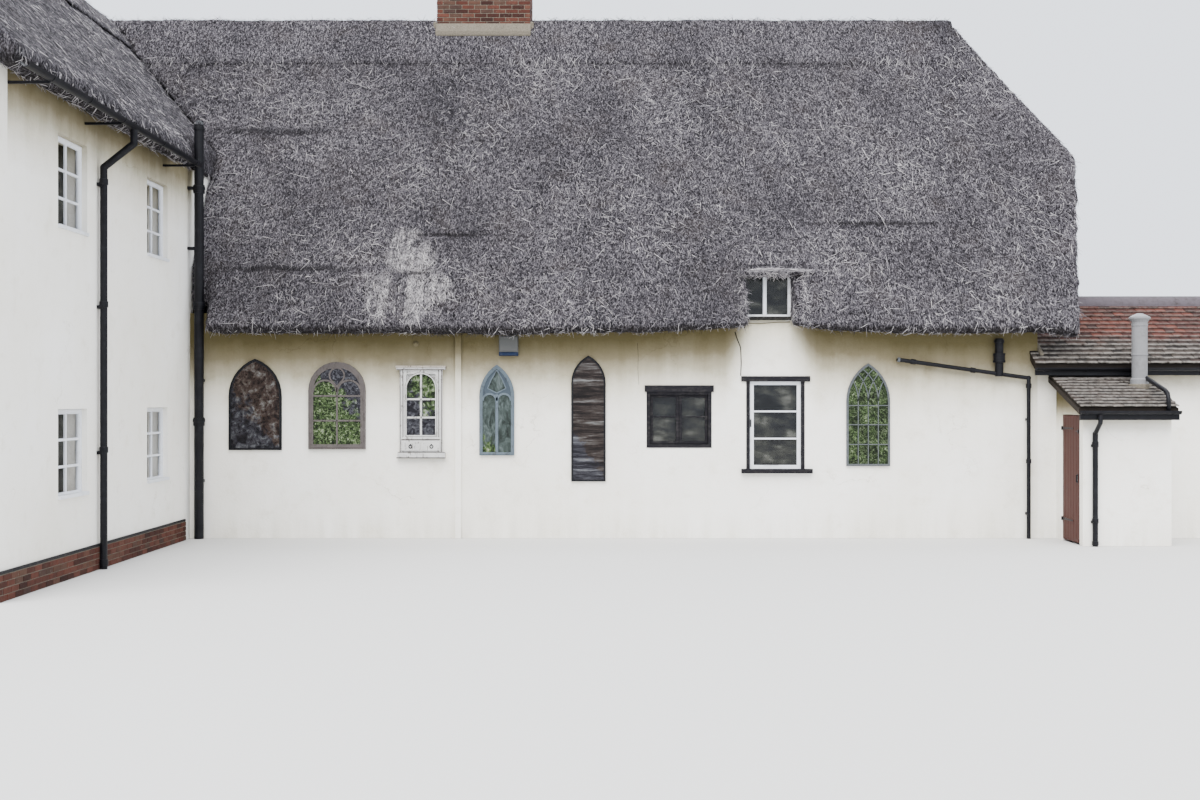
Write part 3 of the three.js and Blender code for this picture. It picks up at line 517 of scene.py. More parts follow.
def splitPaint(name, lower, upper, height, dirt, roughness, strength):
    # two colours of paint with a level edge between them
    spot = newFinish(name, roughness)
    above = ramped(axis(spot, "Z"), height - 0.001, height + 0.001)
    spots = clouds(spot, 18, 5, 0.7)
    color = stained(mixed(above, tone(lower), tone(upper, strength)), tone(dirt), spots, 0.5, 0.75, 0.4)
    return coated(color, spots, 0.25, 0.003)


def distressedWood(name, paint, wood, wear=0.5, strength=dimmed):
    spot = newFinish(name, 0.75)
    lines = clouds(mapped(spot, (30.0, 30.0, 4.0)), 1.0, 6, 0.65, 0.4)
    chips = clouds(spot, 16, 6, 0.7)
    bare = ramped(plus(times(lines, 0.5), times(chips, 0.5)), 0.54, 0.58)
    color = mixed(times(bare, wear), tone(paint, strength), tone(wood))
    color = mixed(1.0, color, shadesOf(clouds(spot, 5, 4), [(0.3, 0.78), (0.7, 1.0)]), "MULTIPLY")
    return coated(color, minus(lines, bare))


def weatheredBrick(name):
    spot = newFinish(name, 0.92)
    color = shadesOf(ownValue("shade"), [
        (0.0, 0x51332D), (0.35, 0x7A473B), (0.65, 0x90594A), (0.85, 0x84604F), (1.0, 0x624A44),
    ])
    color = stained(color, tone(0x3E3431), clouds(spot, 7, 6, 0.7), 0.45, 0.75, 0.6)  # soot
    color = stained(color, tone(0xB3AD94), clouds(spot, 21, 4, 0.7), 0.62, 0.72, 0.6)  # lichen
    return coated(color, clouds(spot, 60, 5), 0.6)


def oldMortar(name):
    grit = clouds(newFinish(name, 0.95), 45, 5, 0.7)
    return coated(shadesOf(grit, [(0.3, 0x857B6C), (0.6, 0xB4AA98), (0.8, 0xC9C0AE)]), grit, 0.6, 0.006)


def clayTile(name, redAbove=None):
    spot = newFinish(name, 0.9)
    shade, tail = ownValue("shade"), ownValue("tail")
    redness = 0.0
    color = shadesOf(shade, [(0.0, 0x322B29), (0.4, 0x4D443F), (0.75, 0x6A6059), (1.0, 0x574741)])
    if redAbove is not None:
        red = shadesOf(shade, [(0.0, 0x4A2B28), (0.4, 0x6C3A32), (0.7, 0x8F4D3E), (1.0, 0x5E403A)])
        ragged = plus(axis(spot, "Z"), times(clouds(spot, 2.5, 3), 0.35))
        redness = ramped(ragged, redAbove + 0.08, redAbove + 0.28)
        color = mixed(redness, color, red)
    wear = clouds(spot, 11, 5, 0.7)
    # pale tails, partly weathered and partly a painted highlight where the lower edges catch the light; less so on
    # the red tiles
    edge = times(ramped(tail, 0.8, 0.96), ramped(wear, 0.3, 0.55), minus(0.75, times(redness, 0.45)))
    color = mixed(edge, color, tone(0xD8D0C6, 0.36))
    color = stained(color, tone(0x231E1C), tail, 0.72, 0.44, 0.85)  # the shade under the next course
    moss, lichen = clouds(spot, 9, 6, 0.7), clouds(spot, 34, 4, 0.7)
    color = stained(color, tone(0x565240), moss, 0.56, 0.72, 0.55)
    color = stained(color, tone(0xB5AC9B), lichen, 0.6, 0.7, 0.5)
    return coated(color, plus(moss, times(lichen, 0.4)), 0.6, 0.006)


def windowGlass(name):
    spot = newFinish(name, 0.06, shine=0.28)
    making["shader"].inputs["Alpha"].default_value = 0.82
    # painted reflections in the panes, as blotches of dark to pale grey
    paintedReflections = clouds(mapped(spot, (1.2, 1.2, 2.4)), 2.3, 4, 0.55)
    return coated(shadesOf(paintedReflections, [(0.34, 0x0F1114), (0.47, 0x2B2E30), (0.57, 0x4A4C46), (0.7, 0x86877F)]))


def gardenMirror(name, shadow, leaf, split, scale, stretch=(1, 1, 1), distortion=1.2, patches=0.0):
    # painted reflection of a garden in the mirror glass, in muted greens and browns; split is where its reflected
    # shadow starts, as (x, z)
    spot = newFinish(name, 0.12, 0.55, 0.3)
    speckle = clouds(mapped(spot, stretch), scale, 6, 0.75, distortion)
    color = shadesOf(speckle, shadow)
    if leaf is not None:
        slope = plus(times(minus(axis(spot, "X"), split[0]), 1.2), minus(axis(spot, "Z"), split[1]))
        ragged = times(minus(clouds(spot, 7, 5, 0.7), 0.5), 1.6)
        color = mixed(ramped(plus(slope, ragged), 0.06, -0.06), color, shadesOf(speckle, leaf))
    # painted reflection: deeper green where the reflected plants stand further back
    color = stained(color, tone(0x2C3328), clouds(spot, 6, 4, 0.65), 0.58, 0.42, patches, "MULTIPLY")
    feed(making["shader"].inputs["Roughness"], ramped(clouds(spot, 5, 3), 0.0, 1.0, 0.1, 0.35))
    return coated(color)


def plainBoards(name, light, dark, grain):
    lines = clouds(mapped(newFinish(name, 0.7), grain), 1.0, 6, 0.6, 0.5)
    return coated(shadesOf(lines, [(0.3, dark), (0.7, light)]), lines, 0.4)


# painted reflections for the mirror glass, from dark to pale: of leaves, of dim shade, of brown trees, of boards and
# of hazy sky
reflectedLeafShades = [(0.38, 0x0B1007), (0.45, 0x28371B), (0.51, 0x4F6A36), (0.575, 0x8FA96C), (0.65, 0xE6EED2)]
reflectedDuskShades = [(0.36, 0x141216), (0.46, 0x34323A), (0.54, 0x57565E), (0.62, 0x8C8D93), (0.72, 0xD0D2D5)]
reflectedBrownShades = [(0.35, 0x120E10), (0.45, 0x3A2D28), (0.53, 0x604E46), (0.61, 0x8B8580), (0.72, 0xD2D3D5)]
reflectedBoardShades = [(0.3, 0x0E0B0C), (0.44, 0x2C2422), (0.53, 0x4E423D), (0.6, 0x726B66), (0.68, 0xB9B8B6)]
reflectedHazeShades = [(0.34, 0x2A312C), (0.45, 0x49544F), (0.54, 0x66746F), (0.66, 0x92A09F), (0.8, 0xE4ECEE)]

finishKinds = {
    limewash: {
        # eave, reach of the soot and painted shade, gap under the dormer, deeper painted shade as (from, to,
        # amount), and rise
        "limewash": (3.42, 1.5, (2.3, 3.13), [(1.3, 0.3, 0.075), (4.0, 4.8, 0.1)]),
        "wingLimewash": (6.1, 1.3, None, (), 1.25),
        "wingFrontLimewash": (7.35, 1.2),
        "serviceLimewash": (3.05, 0.9),
        "leanToLimewash": (2.3, 0.6),
        "gableLimewash": (8.2, 1.6),
        "palePipe": (3.42, 1.5),
    },
    weatheredThatch: {"thatch": ()},
    looseStraw: {"straw": ()},
    weatheredBrick: {"brick": ()},
    oldMortar: {"mortar": ()},
    clayTile: {"leanToTile": (), "serviceTile": (3.2,)},
    wornPaint: {
        "ridgeTile": (0x857C84, 0x5E5654, 0.85, 0.6, (6, 6, 6)),
        "blackIron": (0x1C1C22, 0x4C4C54, 0.48, 0.25, (2, 2, 8)),
        "blackTimber": (0x24222A, 0x6E6A66, 0.7, 0.4, (4, 30, 30)),
        "whitePaint": (0xE9ECF2, 0xB9B5A8, 0.4, 0.25, (8, 8, 8), 0.9),
        "flue": (0xC4C4C6, 0x86827C, 0.45, 0.35, (4, 4, 4)),
        "door": (0x6A362D, 0x47251F, 0.6, 0.35, (20, 20, 1.5)),
        "greyMetal": (0x83898E, 0xB5B7B8, 0.5, 0.4, (10, 10, 10)),
    },
    splitPaint: {
        "dormerPaint": (0x24221F, 0xEDEDF0, 3.5435, 0x9B968A, 0.45, 0.9),
        # the alarm case's white upper part is dimmed far below the other paints, as painted shade from the eave
        "alarmCase": (0x1E3A66, 0xD4D6D4, 2.975, 0x9A988E, 0.5, 0.14),
    },
    plainBoards: {
        "slabEdge": (0x4A3F36, 0x2C2520, (2, 20, 20)),
        "floor": (0x8C7355, 0x5F4A33, (1, 14, 14)),
    },
    windowGlass: {"glass": ()},
    distressedWood: {
        "greyWood": (0x968D8A, 0x6A5F58, 0.6),
        "paleWood": (0xDCDBD8, 0xA39A90, 0.75, 0.8),
        "wornCornice": (0xC9BFB2, 0x8C7A68, 0.9, 0.62),
        "blueWood": (0x97A9B7, 0x6F6C68),
        # painted shade: a darker blue for the recessed spandrels
        "blueShade": (0x6F7E8C, 0x5A5C60),
    },
    gardenMirror: {
        "brownMirror": (reflectedBrownShades, reflectedDuskShades, (-5.66, 2.1), 8.0, (1, 1, 1), 0.4),
        "roundMirror": (reflectedDuskShades, reflectedLeafShades, (-4.05, 2.15), 20),
        "cabinetMirror": (reflectedLeafShades, reflectedDuskShades, (-2.9, 2.2), 10, (1, 1, 1), 1.2, 0.2),
        "blueMirror": (reflectedHazeShades, reflectedLeafShades, (-1.75, 1.5), 8, (1, 1, 0.5)),
        "latticeMirror": (reflectedLeafShades, None, None, 30, (1, 1, 1), 1.2, 0.65),
        "slatMirror": (reflectedBoardShades, reflectedDuskShades, (-0.2, 1.4), 1.2, (1.2, 1.0, 12.0), 0.15),
    },
}
finishes = {
    name: makeFinish(name, *settings) for makeFinish, table in finishKinds.items()
    for name, settings in table.items()
}
print("finishes made:", len(finishes))

nodeFinishes = {
    "limewash": "front_wall back_wall",
    "gableLimewash": "right_gable_wall",
    "wingLimewash": "left_wall wing_east_wall",
    "wingFrontLimewash": "wing_front_wall",
    "serviceLimewash": "service_front_wall service_back_wall service_end_wall",
    "leanToLimewash": "lean_to_front_wall lean_to_end_wall lean_to_back_pier lean_to_door_head",
    "mortar": "chimney_stack wing_plinth",
    "blackIron": "service_gutter lean_to_gutter lean_to_downpipe wing_gutter wing_downpipe vent_stack "
                 "waste_pipes black_arched_mirror tall_dark_mirror",
    "blackTimber": "casement_surround dark_window_frame",
    "whitePaint": "casement_sash",
    "dormerPaint": "dormer_frame",
    "slabEdge": "service_front_roof service_back_roof lean_to_roof",
    "flue": "lean_to_flue",
    "door": "lean_to_door back_door",
    "floor": "ground_floor upper_floor lean_to_floor",
    "glass": "casement_glass dark_window_glass dormer_glass wing_lower_glass wing_upper_glass back_glass",
    "palePipe": "wall_pipe",
    "alarmCase": "alarm_box",
    "greyWood": "round_arched_mirror",
    "paleWood": "cabinet_mirror",
    "blueWood": "blue_arched_mirror",
    "greyMetal": "lattice_mirror",
    "brick": "chimney_pots",
    "thatch": "main_thatch wing_thatch main_ridge_cap wing_ridge_cap",
}
for finish, names in nodeFinishes.items():
    for name in names.split():
        node = cadNodes[name]
        if not node.material_slots:
            node.data.materials.append(finishes[finish])
        for slot in node.material_slots:
            slot.material = finishes[finish]


# thatch

thatch = {
    # name, solid, voxel size, broad swell and fine swell
    "layers": [
        ("mainThatch", "main_thatch", 0.085, 0.07, 0.045),
        ("wingThatch", "wing_thatch", 0.075, 0.07, 0.045),
        ("mainRidgeCap", "main_ridge_cap", 0.05, 0.03, 0.03),
        ("wingRidgeCap", "wing_ridge_cap", 0.05, 0.03, 0.03),
    ],
    "rollVoxel": 0.022,
    "rollSlope": 1.62,
    "rollSwell": (0.12, 0.02),
    "swellSizes": (0.9, 0.22),
    "strawLength": (0.045, 0.15),
    "strawWidth": (0.0045, 0.0095),
    "tip": 0.35,  # how thick a straw's far end is
    "raised": 0.006,  # how far the straws lie off the thatch
    "hang": 0.35,  # how much less the bleached straws lean
    "bleachedShade": (0.93, 1.0),
    "seed": 41,
}


def keptInside(piece, margin=0.004):
    # no strand or tuft stands further out than the solids do
    corners = np.empty(len(piece.data.vertices) * 3, dtype=np.float32)
    piece.data.vertices.foreach_get("co", corners)
    low, high = np.array(cadLow) + margin, np.array(cadHigh) - margin
    low[2] = cadLow[2]
    piece.data.vertices.foreach_set("co", np.clip(corners.reshape(-1, 3), low, high).ravel())
    piece.data.update()


def swell(piece, size, strength):
    texture = bpy.data.textures.new("thatchSwell", "CLOUDS")
    texture.noise_scale = size
    texture.noise_depth = 3
    applyModifier(piece, "DISPLACE", texture=texture, strength=strength, mid_level=0.5, texture_coords="LOCAL")


def layThatch(name, node, voxel, broad, fine):
    pick(cadNodes[node])
    bpy.ops.object.duplicate()
    piece = bpy.context.object
    piece.name = name
    squareUp(piece)
    applyModifier(piece, "REMESH", mode="VOXEL", voxel_size=voxel)
    applyModifier(piece, "SMOOTH", factor=0.5, iterations=3)
    for size, strength in zip(thatch["swellSizes"], (broad, fine)):
        swell(piece, size, strength)
    keptInside(piece)
    pick(piece)
    bpy.ops.object.shade_smooth()
    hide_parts(node)
    return dress(piece, "thatch", "thatch" if "Cap" not in name else "ridge_thatch")


layers = {layer[0]: layThatch(*layer) for layer in thatch["layers"]}
print("thatch laid:", {name: len(piece.data.polygons) for name, piece in layers.items()})


def thatchRoll(low, high, slope=0.0, flare=0.0):
    # a rounded roll; with a slope its front leans back with the roof, and a flare moves its foot to the right
    piece = block(low, high, 0.05)
    for vertex in piece.data.vertices:
        vertex.co.x += (high[2] - vertex.co.z) * flare
        if slope and vertex.co.y < (low[1] + high[1]) / 2:
            vertex.co.y = min(vertex.co.y + (vertex.co.z - low[2]) / slope, high[1] - 0.12)
    applyModifier(piece, "REMESH", mode="VOXEL", voxel_size=thatch["rollVoxel"])
    applyModifier(piece, "SMOOTH", factor=0.5, iterations=4)
    swell(piece, *thatch["rollSwell"])
    return piece


layers["dormerThatch"] = joinAll("dormerThatch", [
    thatchRoll((2.13, -0.676, 3.372), (2.308, -0.158, 4.3), thatch["rollSlope"]),
    thatchRoll((3.046, -0.676, 3.39), (3.24, -0.158, 4.3), thatch["rollSlope"], 0.085),
    thatchRoll((2.2, -0.42, 4.172), (3.3, -0.2, 4.33)),
])
pick(layers["dormerThatch"])
bpy.ops.object.shade_smooth()
dress(layers["dormerThatch"], "thatch", "thatch")


def surfacePoints(piece, count, accept, seed):
    # places and directions spread evenly over the chosen faces of a piece
    mesh = piece.data
    mesh.calc_loop_triangles()
    triangles = np.empty(len(mesh.loop_triangles) * 3, dtype=np.int32)
    mesh.loop_triangles.foreach_get("vertices", triangles)
    corners = np.empty(len(mesh.vertices) * 3, dtype=np.float32)
    mesh.vertices.foreach_get("co", corners)
    corners = corners.reshape(-1, 3)[triangles.reshape(-1, 3)]
    cross = np.cross(corners[:, 1] - corners[:, 0], corners[:, 2] - corners[:, 0])
    area = np.linalg.norm(cross, axis=1) / 2
    normals = cross / np.maximum(area[:, None] * 2, 1e-12)
    weights = area * accept(*corners.mean(axis=1).T, normals.T)
    dice = np.random.default_rng(seed)
    chosen = dice.choice(len(area), size=count, p=weights / weights.sum())
    u, v = dice.random(count), dice.random(count)
    over = u + v > 1
    u[over], v[over] = 1 - u[over], 1 - v[over]
    first, second, third = corners[chosen].transpose(1, 0, 2)
    points = first + u[:, None] * (second - first) + v[:, None] * (third - first)
    return points, normals[chosen], dice


def unit(vectors):
    return vectors / np.maximum(np.linalg.norm(vectors, axis=1)[:, None], 1e-9)


def strawTurns(way, across, out, length, width):
    return np.stack([way * length[:, None], across * width[:, None], out * width[:, None]], axis=2)


def strawPattern():
    # one straw, a metre long and a metre across, to be scaled for each copy; its far end is thinner
    piece = added(
        bpy.ops.mesh.primitive_cylinder_add, "strawPattern", vertices=3, radius=0.5, depth=1,
        rotation=(0, math.pi / 2, 0),
    )
    tip = thatch["tip"]
    return reshaped(piece, lambda x, y, z: (x, y * tip, z * tip) if x > 0 else (x, y, z))


def weathering(points):
    # how the straws' shade shifts from place to place, how bleached they are, and the painted shade of the creases
    # on them
    x, y, z = points.T
    shift = 0.05 + 0.14 * np.sin(x * 1.3 + z * 0.7 + 0.4) * np.sin(z * 1.9 - x * 0.4 + 1.1)
    shift += 0.1 * np.sin(x * 3.1 + 1.7) * np.sin(z * 2.3 + x * 0.8)
    pale, dark = np.zeros(len(x)), np.zeros(len(x))
    for middleX, middleZ, halfWidth, halfHeight, strength in weather["bleached"]:
        away = (np.abs(x - middleX) / halfWidth) ** 3 + (np.abs(z - middleZ) / halfHeight) ** 3
        pale = np.maximum(pale, strength * np.exp(-away))
    pale *= (y < 1.6) * np.clip(0.62 + 0.7 * np.sin(x * 33 + 1.3 + np.sin(z * 4)), 0, 0.95)
    # painted shade in the creases
    for middleX, middleZ, halfLength, halfHeight in weather["shadedCreases"]:
        wave = 0.02 * np.sin(x * 7 + middleZ)
        away = ((x - middleX) / halfLength) ** 4 + ((z - middleZ + wave) / halfHeight) ** 2
        dark = np.maximum(dark, np.exp(-away))
    return shift, pale, dark * (y < 2.0)


def strewStraws(name, layer, count, accept, seedStep, lean=1.0, lift=0.05, droop=0.0, bright=0.0, stretch=1.0):
    points, normals, dice = surfacePoints(layers[layer], count, accept, thatch["seed"] + seedStep)
    down = np.zeros_like(normals)
    down[:, 2] = -1
    along = unit(down - normals * (down * normals).sum(axis=1)[:, None])
    side = np.cross(normals, along)
    shift, pale, dark = weathering(points)
    washed = dice.random(count) < pale
    angle = dice.normal(0, lean, count) * np.where(washed, thatch["hang"], 1)
    way = along * np.cos(angle)[:, None] + side * np.sin(angle)[:, None]
    way = unit(way + normals * dice.normal(lift, 0.05, count)[:, None] + down * droop)
    length = dice.uniform(*thatch["strawLength"], count) * stretch
    width = dice.uniform(*thatch["strawWidth"], count)
    across = unit(np.cross(way, normals))
    turns = strawTurns(way, across, np.cross(across, way), length, width)
    places = points + normals * thatch["raised"] + way * (length / 2)[:, None]
    shades = np.clip(dice.beta(1.2, 1.45, count) + bright + shift, 0, 0.95)
    shades[washed] = dice.uniform(*thatch["bleachedShade"], washed.sum())
    # the painted crease shade darkens the straws there
    strewn = strewCopies(name, strawShape, turns, places, shades * (1 - 0.85 * dark))
    keptInside(strewn, 0.001)
    dress(strewn, "straw", "thatch")


# where straws are strewn: out holds the three parts of a face's direction

def frontSlope(x, y, z, out):
    return (out[1] < -0.2) & (out[2] > 0.1)


def upward(x, y, z, out):
    return out[2] > 0.1


def mainLip(x, y, z, out):
    low = (z < 3.5) | ((z < 6.1) & (y > 9))
    return low & (out[2] < 0.25) & (np.abs(out[1]) > 0.1)


def wingLip(x, y, z, out):
    return (z < 5.95) & (out[2] < 0.25) & (np.abs(out[0]) > 0.1)


def aboveDormer(x, y, z, out):
    return (x > 2.1) & (x < 3.5) & (z > 4.2) & (z < 4.36) & (out[1] < 0.1)


def leftLedges(x, y, z, out):
    low = (x > -6.1) & (x < -3.9) & (np.abs(z - 4.36) < 0.05)
    high = (x > -6.9) & (x < -4.4) & (np.abs(z - 6.86) < 0.06)
    return (low | high) & (out[1] < -0.2)


strewings = [
    # name, layer, count, where, seed step, and then lean, lift, droop, bright and stretch
    ("strawsFrontLeft", "mainThatch", 21000, lambda x, y, z, out: frontSlope(x, y, z, out) & (x < -0.6), 0),
    ("strawsFrontRight", "mainThatch", 21000, lambda x, y, z, out: frontSlope(x, y, z, out) & (x >= -0.6), 8),
    ("strawsBack", "mainThatch", 22000, lambda x, y, z, out: (out[1] > 0.2) & (out[2] > 0.1), 1),
    ("strawsEnds", "mainThatch", 6000, lambda x, y, z, out: (np.abs(out[0]) > 0.5) & (out[2] > -0.2), 2),
    ("strawsWing", "wingThatch", 22000, upward, 3),
    ("eaveStraws", "mainThatch", 5200, mainLip, 4, 0.9, 0.12, 0.05, 0.1),
    ("wingEaveStraws", "wingThatch", 2200, wingLip, 5, 0.9, 0.12, 0.05, 0.1),
    ("ridgeStraws", "mainRidgeCap", 2600, upward, 6, 0.35, 0.08),
    (
        "ridgeEdgeStraws", "mainRidgeCap", 4200,
        lambda x, y, z, out: (np.abs(y - 2.85) > 0.5) & (out[2] > -0.9), 12, 0.5, 0.1, 0.0, 0.0, 1.7,
    ),
    ("ridgeTufts", "mainRidgeCap", 900, lambda x, y, z, out: out[2] > 0.75, 14, 1.6, 0.45, 0.0, 0.05),
    ("strayStraws", "mainThatch", 1500, frontSlope, 13, 1.2, 0.06, 0.0, 0.32, 2.1),
    ("wingRidgeStraws", "wingRidgeCap", 1600, upward, 7, 0.35, 0.08),
    ("dormerFringe", "mainThatch", 300, aboveDormer, 9, 1.3, 0.15, 0.0, 0.3),
    (
        "dormerStraws", "dormerThatch", 1500,
        lambda x, y, z, out: (out[1] < -0.1) & ((x < 3.03) | (x > 3.2)), 11, 1.2, 0.1, 0.0, 0.12,
    ),
    ("ledgeFringe", "mainThatch", 700, leftLedges, 10, 1.2, 0.15, 0.0, 0.25),
]
ledge = {
    "left": 2.4, "right": 3.27, "y": -0.425, "z": 4.27, "straws": 380, "sag": 0.02, "uneven": (0.008, 0.01),
    "stray": (0.05, 0.09), "length": (0.08, 0.26), "width": (0.006, 0.011), "shade": (0.6, 1.0), "seedStep": 15,
}


def layLedge():
    # a thin bundle of pale straws that lies level over the dormer
    count, left, right = ledge["straws"], ledge["left"], ledge["right"]
    dice = np.random.default_rng(thatch["seed"] + ledge["seedStep"])
    x = dice.uniform(left, right, count)
    sag = ledge["sag"] * ((x - left) / (right - left) * 2 - 1) ** 2
    y, z = (dice.normal(0, spread, count) for spread in ledge["uneven"])
    strayY, strayZ = (dice.normal(0, spread, count) for spread in ledge["stray"])
    way = unit(np.stack([np.ones(count), strayY, strayZ], axis=1))
    out = unit(np.cross(way, (0.0, 0.0, 1.0)))
    length, width, shade = (dice.uniform(*ledge[label], count) for label in ("length", "width", "shade"))
    turns = strawTurns(way, np.cross(out, way), out, length, width)
    places = np.stack([x, ledge["y"] + y, ledge["z"] - sag + z], axis=1)
    dress(strewCopies("dormerLedge", strawShape, turns, places, shade), "straw", "thatch")


strawShape = strawPattern()
for strewing in strewings:
    strewStraws(*strewing)
layLedge()
bpy.data.objects.remove(strawShape)
print("straws strewn")


# tiled roofs

def cutRow(start, end, shift, length, pitch, narrowest):
    # where each tile or brick of a course begins and ends, cut off at both ends of the course
    at = start - shift
    while at < end - narrowest:
        low, high = max(start, at), min(end, at + length)
        if high - low > narrowest:
            yield low, high
        at += pitch


tile = {
    "width": 0.165,
    "length": 0.265,
    "thick": 0.021,
    "gauge": 0.145,
    "camber": 0.004,
    "tilt": 0.14,
    "joint": 0.004,
    "overhang": 0.03,
    "lift": 0.024,
    "narrowest": 0.04,
    "missing": 0.0,  # share of tiles that have slipped off
    "spreads": (0.006, 0.008, 0.002),  # how unevenly they lean, twist and lift
    "seed": 7,
    # name, left, right, eave and crown as (y, z), finish
    "slopes": [
        ("leanToTiles", 7.17, 8.65, (-1.67, 2.094), (-0.156, 2.598), "leanToTile"),
        ("serviceFrontTiles", 6.87, 10.385, (-0.44, 2.778), (1.45, 3.9), "serviceTile"),
        ("serviceBackTiles", 7.01, 10.385, (3.34, 2.778), (1.45, 3.9), "serviceTile"),
    ],
}


def tilePattern():
    size = (tile["width"] - tile["joint"], tile["length"], tile["thick"])
    piece = added(bpy.ops.mesh.primitive_cube_add, "tilePattern", size, size=1)
    startEdit(piece)
    bpy.ops.mesh.subdivide(number_cuts=1)
    endEdit()
    half = tile["width"] / 2
    reshaped(piece, lambda x, y, z: (x, y, z + tile["camber"] * (1 - (x / half) ** 2)))
    softEdges(piece, 0.002, 1)
    return piece


def tileSlope(name, left, right, eave, crown, finish, seed):
    # courses of tiles from the eave to the crown, every other course half a tile over
    dice = np.random.default_rng(seed)
    eave, run = np.array(eave), np.array(crown) - np.array(eave)
    slopeLength = np.linalg.norm(run)
    up = np.array([0, *(run / slopeLength)])
    across = np.array([1.0, 0, 0])
    out = np.cross(across, up)
    if out[2] < 0:
        across, out = -across, -out
    width, half = tile["width"], tile["length"] / 2
    leanSpread, twistSpread, liftSpread = tile["spreads"]
    rows = []
    for course in range(int(slopeLength / tile["gauge"]) + 1):
        at = min(course * tile["gauge"] + half - tile["overhang"], slopeLength - half)
        for low, high in cutRow(left, right, width / 2 * (course % 2), width, width, tile["narrowest"]):
            if dice.random() < tile["missing"]:
                continue
            lean, twist = tile["tilt"] + dice.normal(0, leanSpread), dice.normal(0, twistSpread)
            upNow = up * math.cos(lean) - out * math.sin(lean)
            outNow = out * math.cos(lean) + up * math.sin(lean)
            sideNow = across * math.cos(twist) + upNow * math.sin(twist)
            upNow = upNow * math.cos(twist) - across * math.sin(twist)
            lift = tile["lift"] + dice.normal(0, liftSpread)
            place = np.array([(low + high) / 2, *eave]) + up * at + out * lift
            turn = np.stack([sideNow * (high - low) / width, upNow, outNow], axis=1)
            rows.append((turn, place, dice.random()))
    dress(strewCopies(name, tileShape, *zip(*rows)), finish, "roof_tile")


tileShape = tilePattern()
for step, slope in enumerate(tile["slopes"]):
    tileSlope(*slope, tile["seed"] + step)
bpy.data.objects.remove(tileShape)

ridge = {
    "count": 11, "length": 0.308, "left": 7.0, "y": 1.45, "z": 3.8, "radius": 0.185, "spread": 1.46, "foot": 3.79,
    "thick": 0.018,
}


def ridgeTiles():
    parts = []
    for i in range(ridge["count"]):
        middle = ridge["left"] + i * (ridge["length"] - 0.002) + ridge["length"] / 2
        part = added(
            bpy.ops.mesh.primitive_cylinder_add, "ridgeTile", vertices=28, radius=ridge["radius"],
            depth=ridge["length"], end_fill_type="NOTHING", location=(middle, ridge["y"], ridge["z"]),
            rotation=(0, math.pi / 2, 0),
        )
        reshaped(part, lambda x, y, z: (x, ridge["y"] + (y - ridge["y"]) * ridge["spread"], z))
        startEdit(part)
        bpy.ops.mesh.bisect(plane_co=(0, 0, ridge["foot"]), plane_no=(0, 0, 1), clear_inner=True)
        endEdit()
        applyModifier(part, "SOLIDIFY", thickness=ridge["thick"], offset=-1)
        softEdges(part, 0.004, 1)
        parts.append(part)
    piece = joinAll("serviceRidgeTiles", parts)
    squareUp(piece)
    dress(piece, "ridgeTile", "roof_tile")


ridgeTiles()
print("roofs tiled")


# chimney and plinth

brick = {
    "length": 0.215, "height": 0.065, "joint": 0.01, "depth": 0.03, "proud": 0.007, "shift": 0.1125,
    "narrowest": 0.03, "uneven": 0.0015, "seed": 19,
}
# the stack's corners, its visible height, and where it steps out below its top, as (from, to, amount)
chimney = {
    "low": (-2.93, 2.75), "high": (-1.26, 3.65), "from": 7.9, "top": 10.5,
    "steps": [(0.43, -1.0, 0.028), (0.355, 0.085, 0.056)],
}
plinth = {"start": (-6.5347, -7.6), "length": 7.12, "foot": 0.004, "courses": 4, "pitch": 0.074}


def courseRow(rows, dice, start, way, outward, length, z, offset):
    # one side's bricks of one course
    way, outward = np.array(way), np.array(outward)
    pitch = brick["length"] + brick["joint"]
    for low, high in cutRow(0.0, length, offset, brick["length"], pitch, brick["narrowest"]):
        sunk = brick["depth"] / 2 - brick["proud"] - dice.normal(0, brick["uneven"])
        place = np.array((*start, z + brick["height"] / 2)) + way * (low + high) / 2 - outward * sunk
        turn = np.stack([way * (high - low) / brick["length"], outward, [0, 0, 1]], axis=1)
        rows.append((turn, place, dice.random()))


def chimneyBricks():
    dice = np.random.default_rng(brick["seed"])
    rows = []
    z, course = chimney["from"], 0
    while z + brick["height"] <= chimney["top"] + 0.001:
        out = 0.0
        for start, end, amount in chimney["steps"]:
            if chimney["top"] - start <= z < chimney["top"] - end:
                out = amount
        (x0, y0), (x1, y1) = (c - out for c in chimney["low"]), (c + out for c in chimney["high"])
        offset = brick["shift"] if course % 2 else 0.0
        courseRow(rows, dice, (x0, y0), (1, 0, 0), (0, -1, 0), x1 - x0, z, offset)
        courseRow(rows, dice, (x0, y1), (1, 0, 0), (0, 1, 0), x1 - x0, z, offset)
        courseRow(rows, dice, (x0, y0), (0, 1, 0), (-1, 0, 0), y1 - y0, z, brick["shift"] - offset)
        courseRow(rows, dice, (x1, y0), (0, 1, 0), (1, 0, 0), y1 - y0, z, brick["shift"] - offset)
        z += brick["height"] + brick["joint"]
        course += 1
    dress(strewCopies("chimneyBricks", brickShape, *zip(*rows)), "brick", "brick")


def plinthBricks():
    dice = np.random.default_rng(brick["seed"] + 1)
    rows = []
    for course in range(plinth["courses"]):
        z, offset = plinth["foot"] + course * plinth["pitch"], brick["shift"] if course % 2 else 0.0
        courseRow(rows, dice, plinth["start"], (0, 1, 0), (1, 0, 0), plinth["length"], z, offset)
    dress(strewCopies("plinthBricks", brickShape, *zip(*rows)), "brick", "brick")


brickShape = added(
    bpy.ops.mesh.primitive_cube_add, "brickPattern", (brick["length"], brick["depth"], brick["height"]), size=1,
)
softEdges(brickShape, 0.005, 1)
chimneyBricks()
plinthBricks()
bpy.data.objects.remove(brickShape)
dress(block((-6.5597, -7.6, 0.3005), (-6.529, -0.485, 0.335), name="plinthStrip"), "blackTimber", "black_timber")


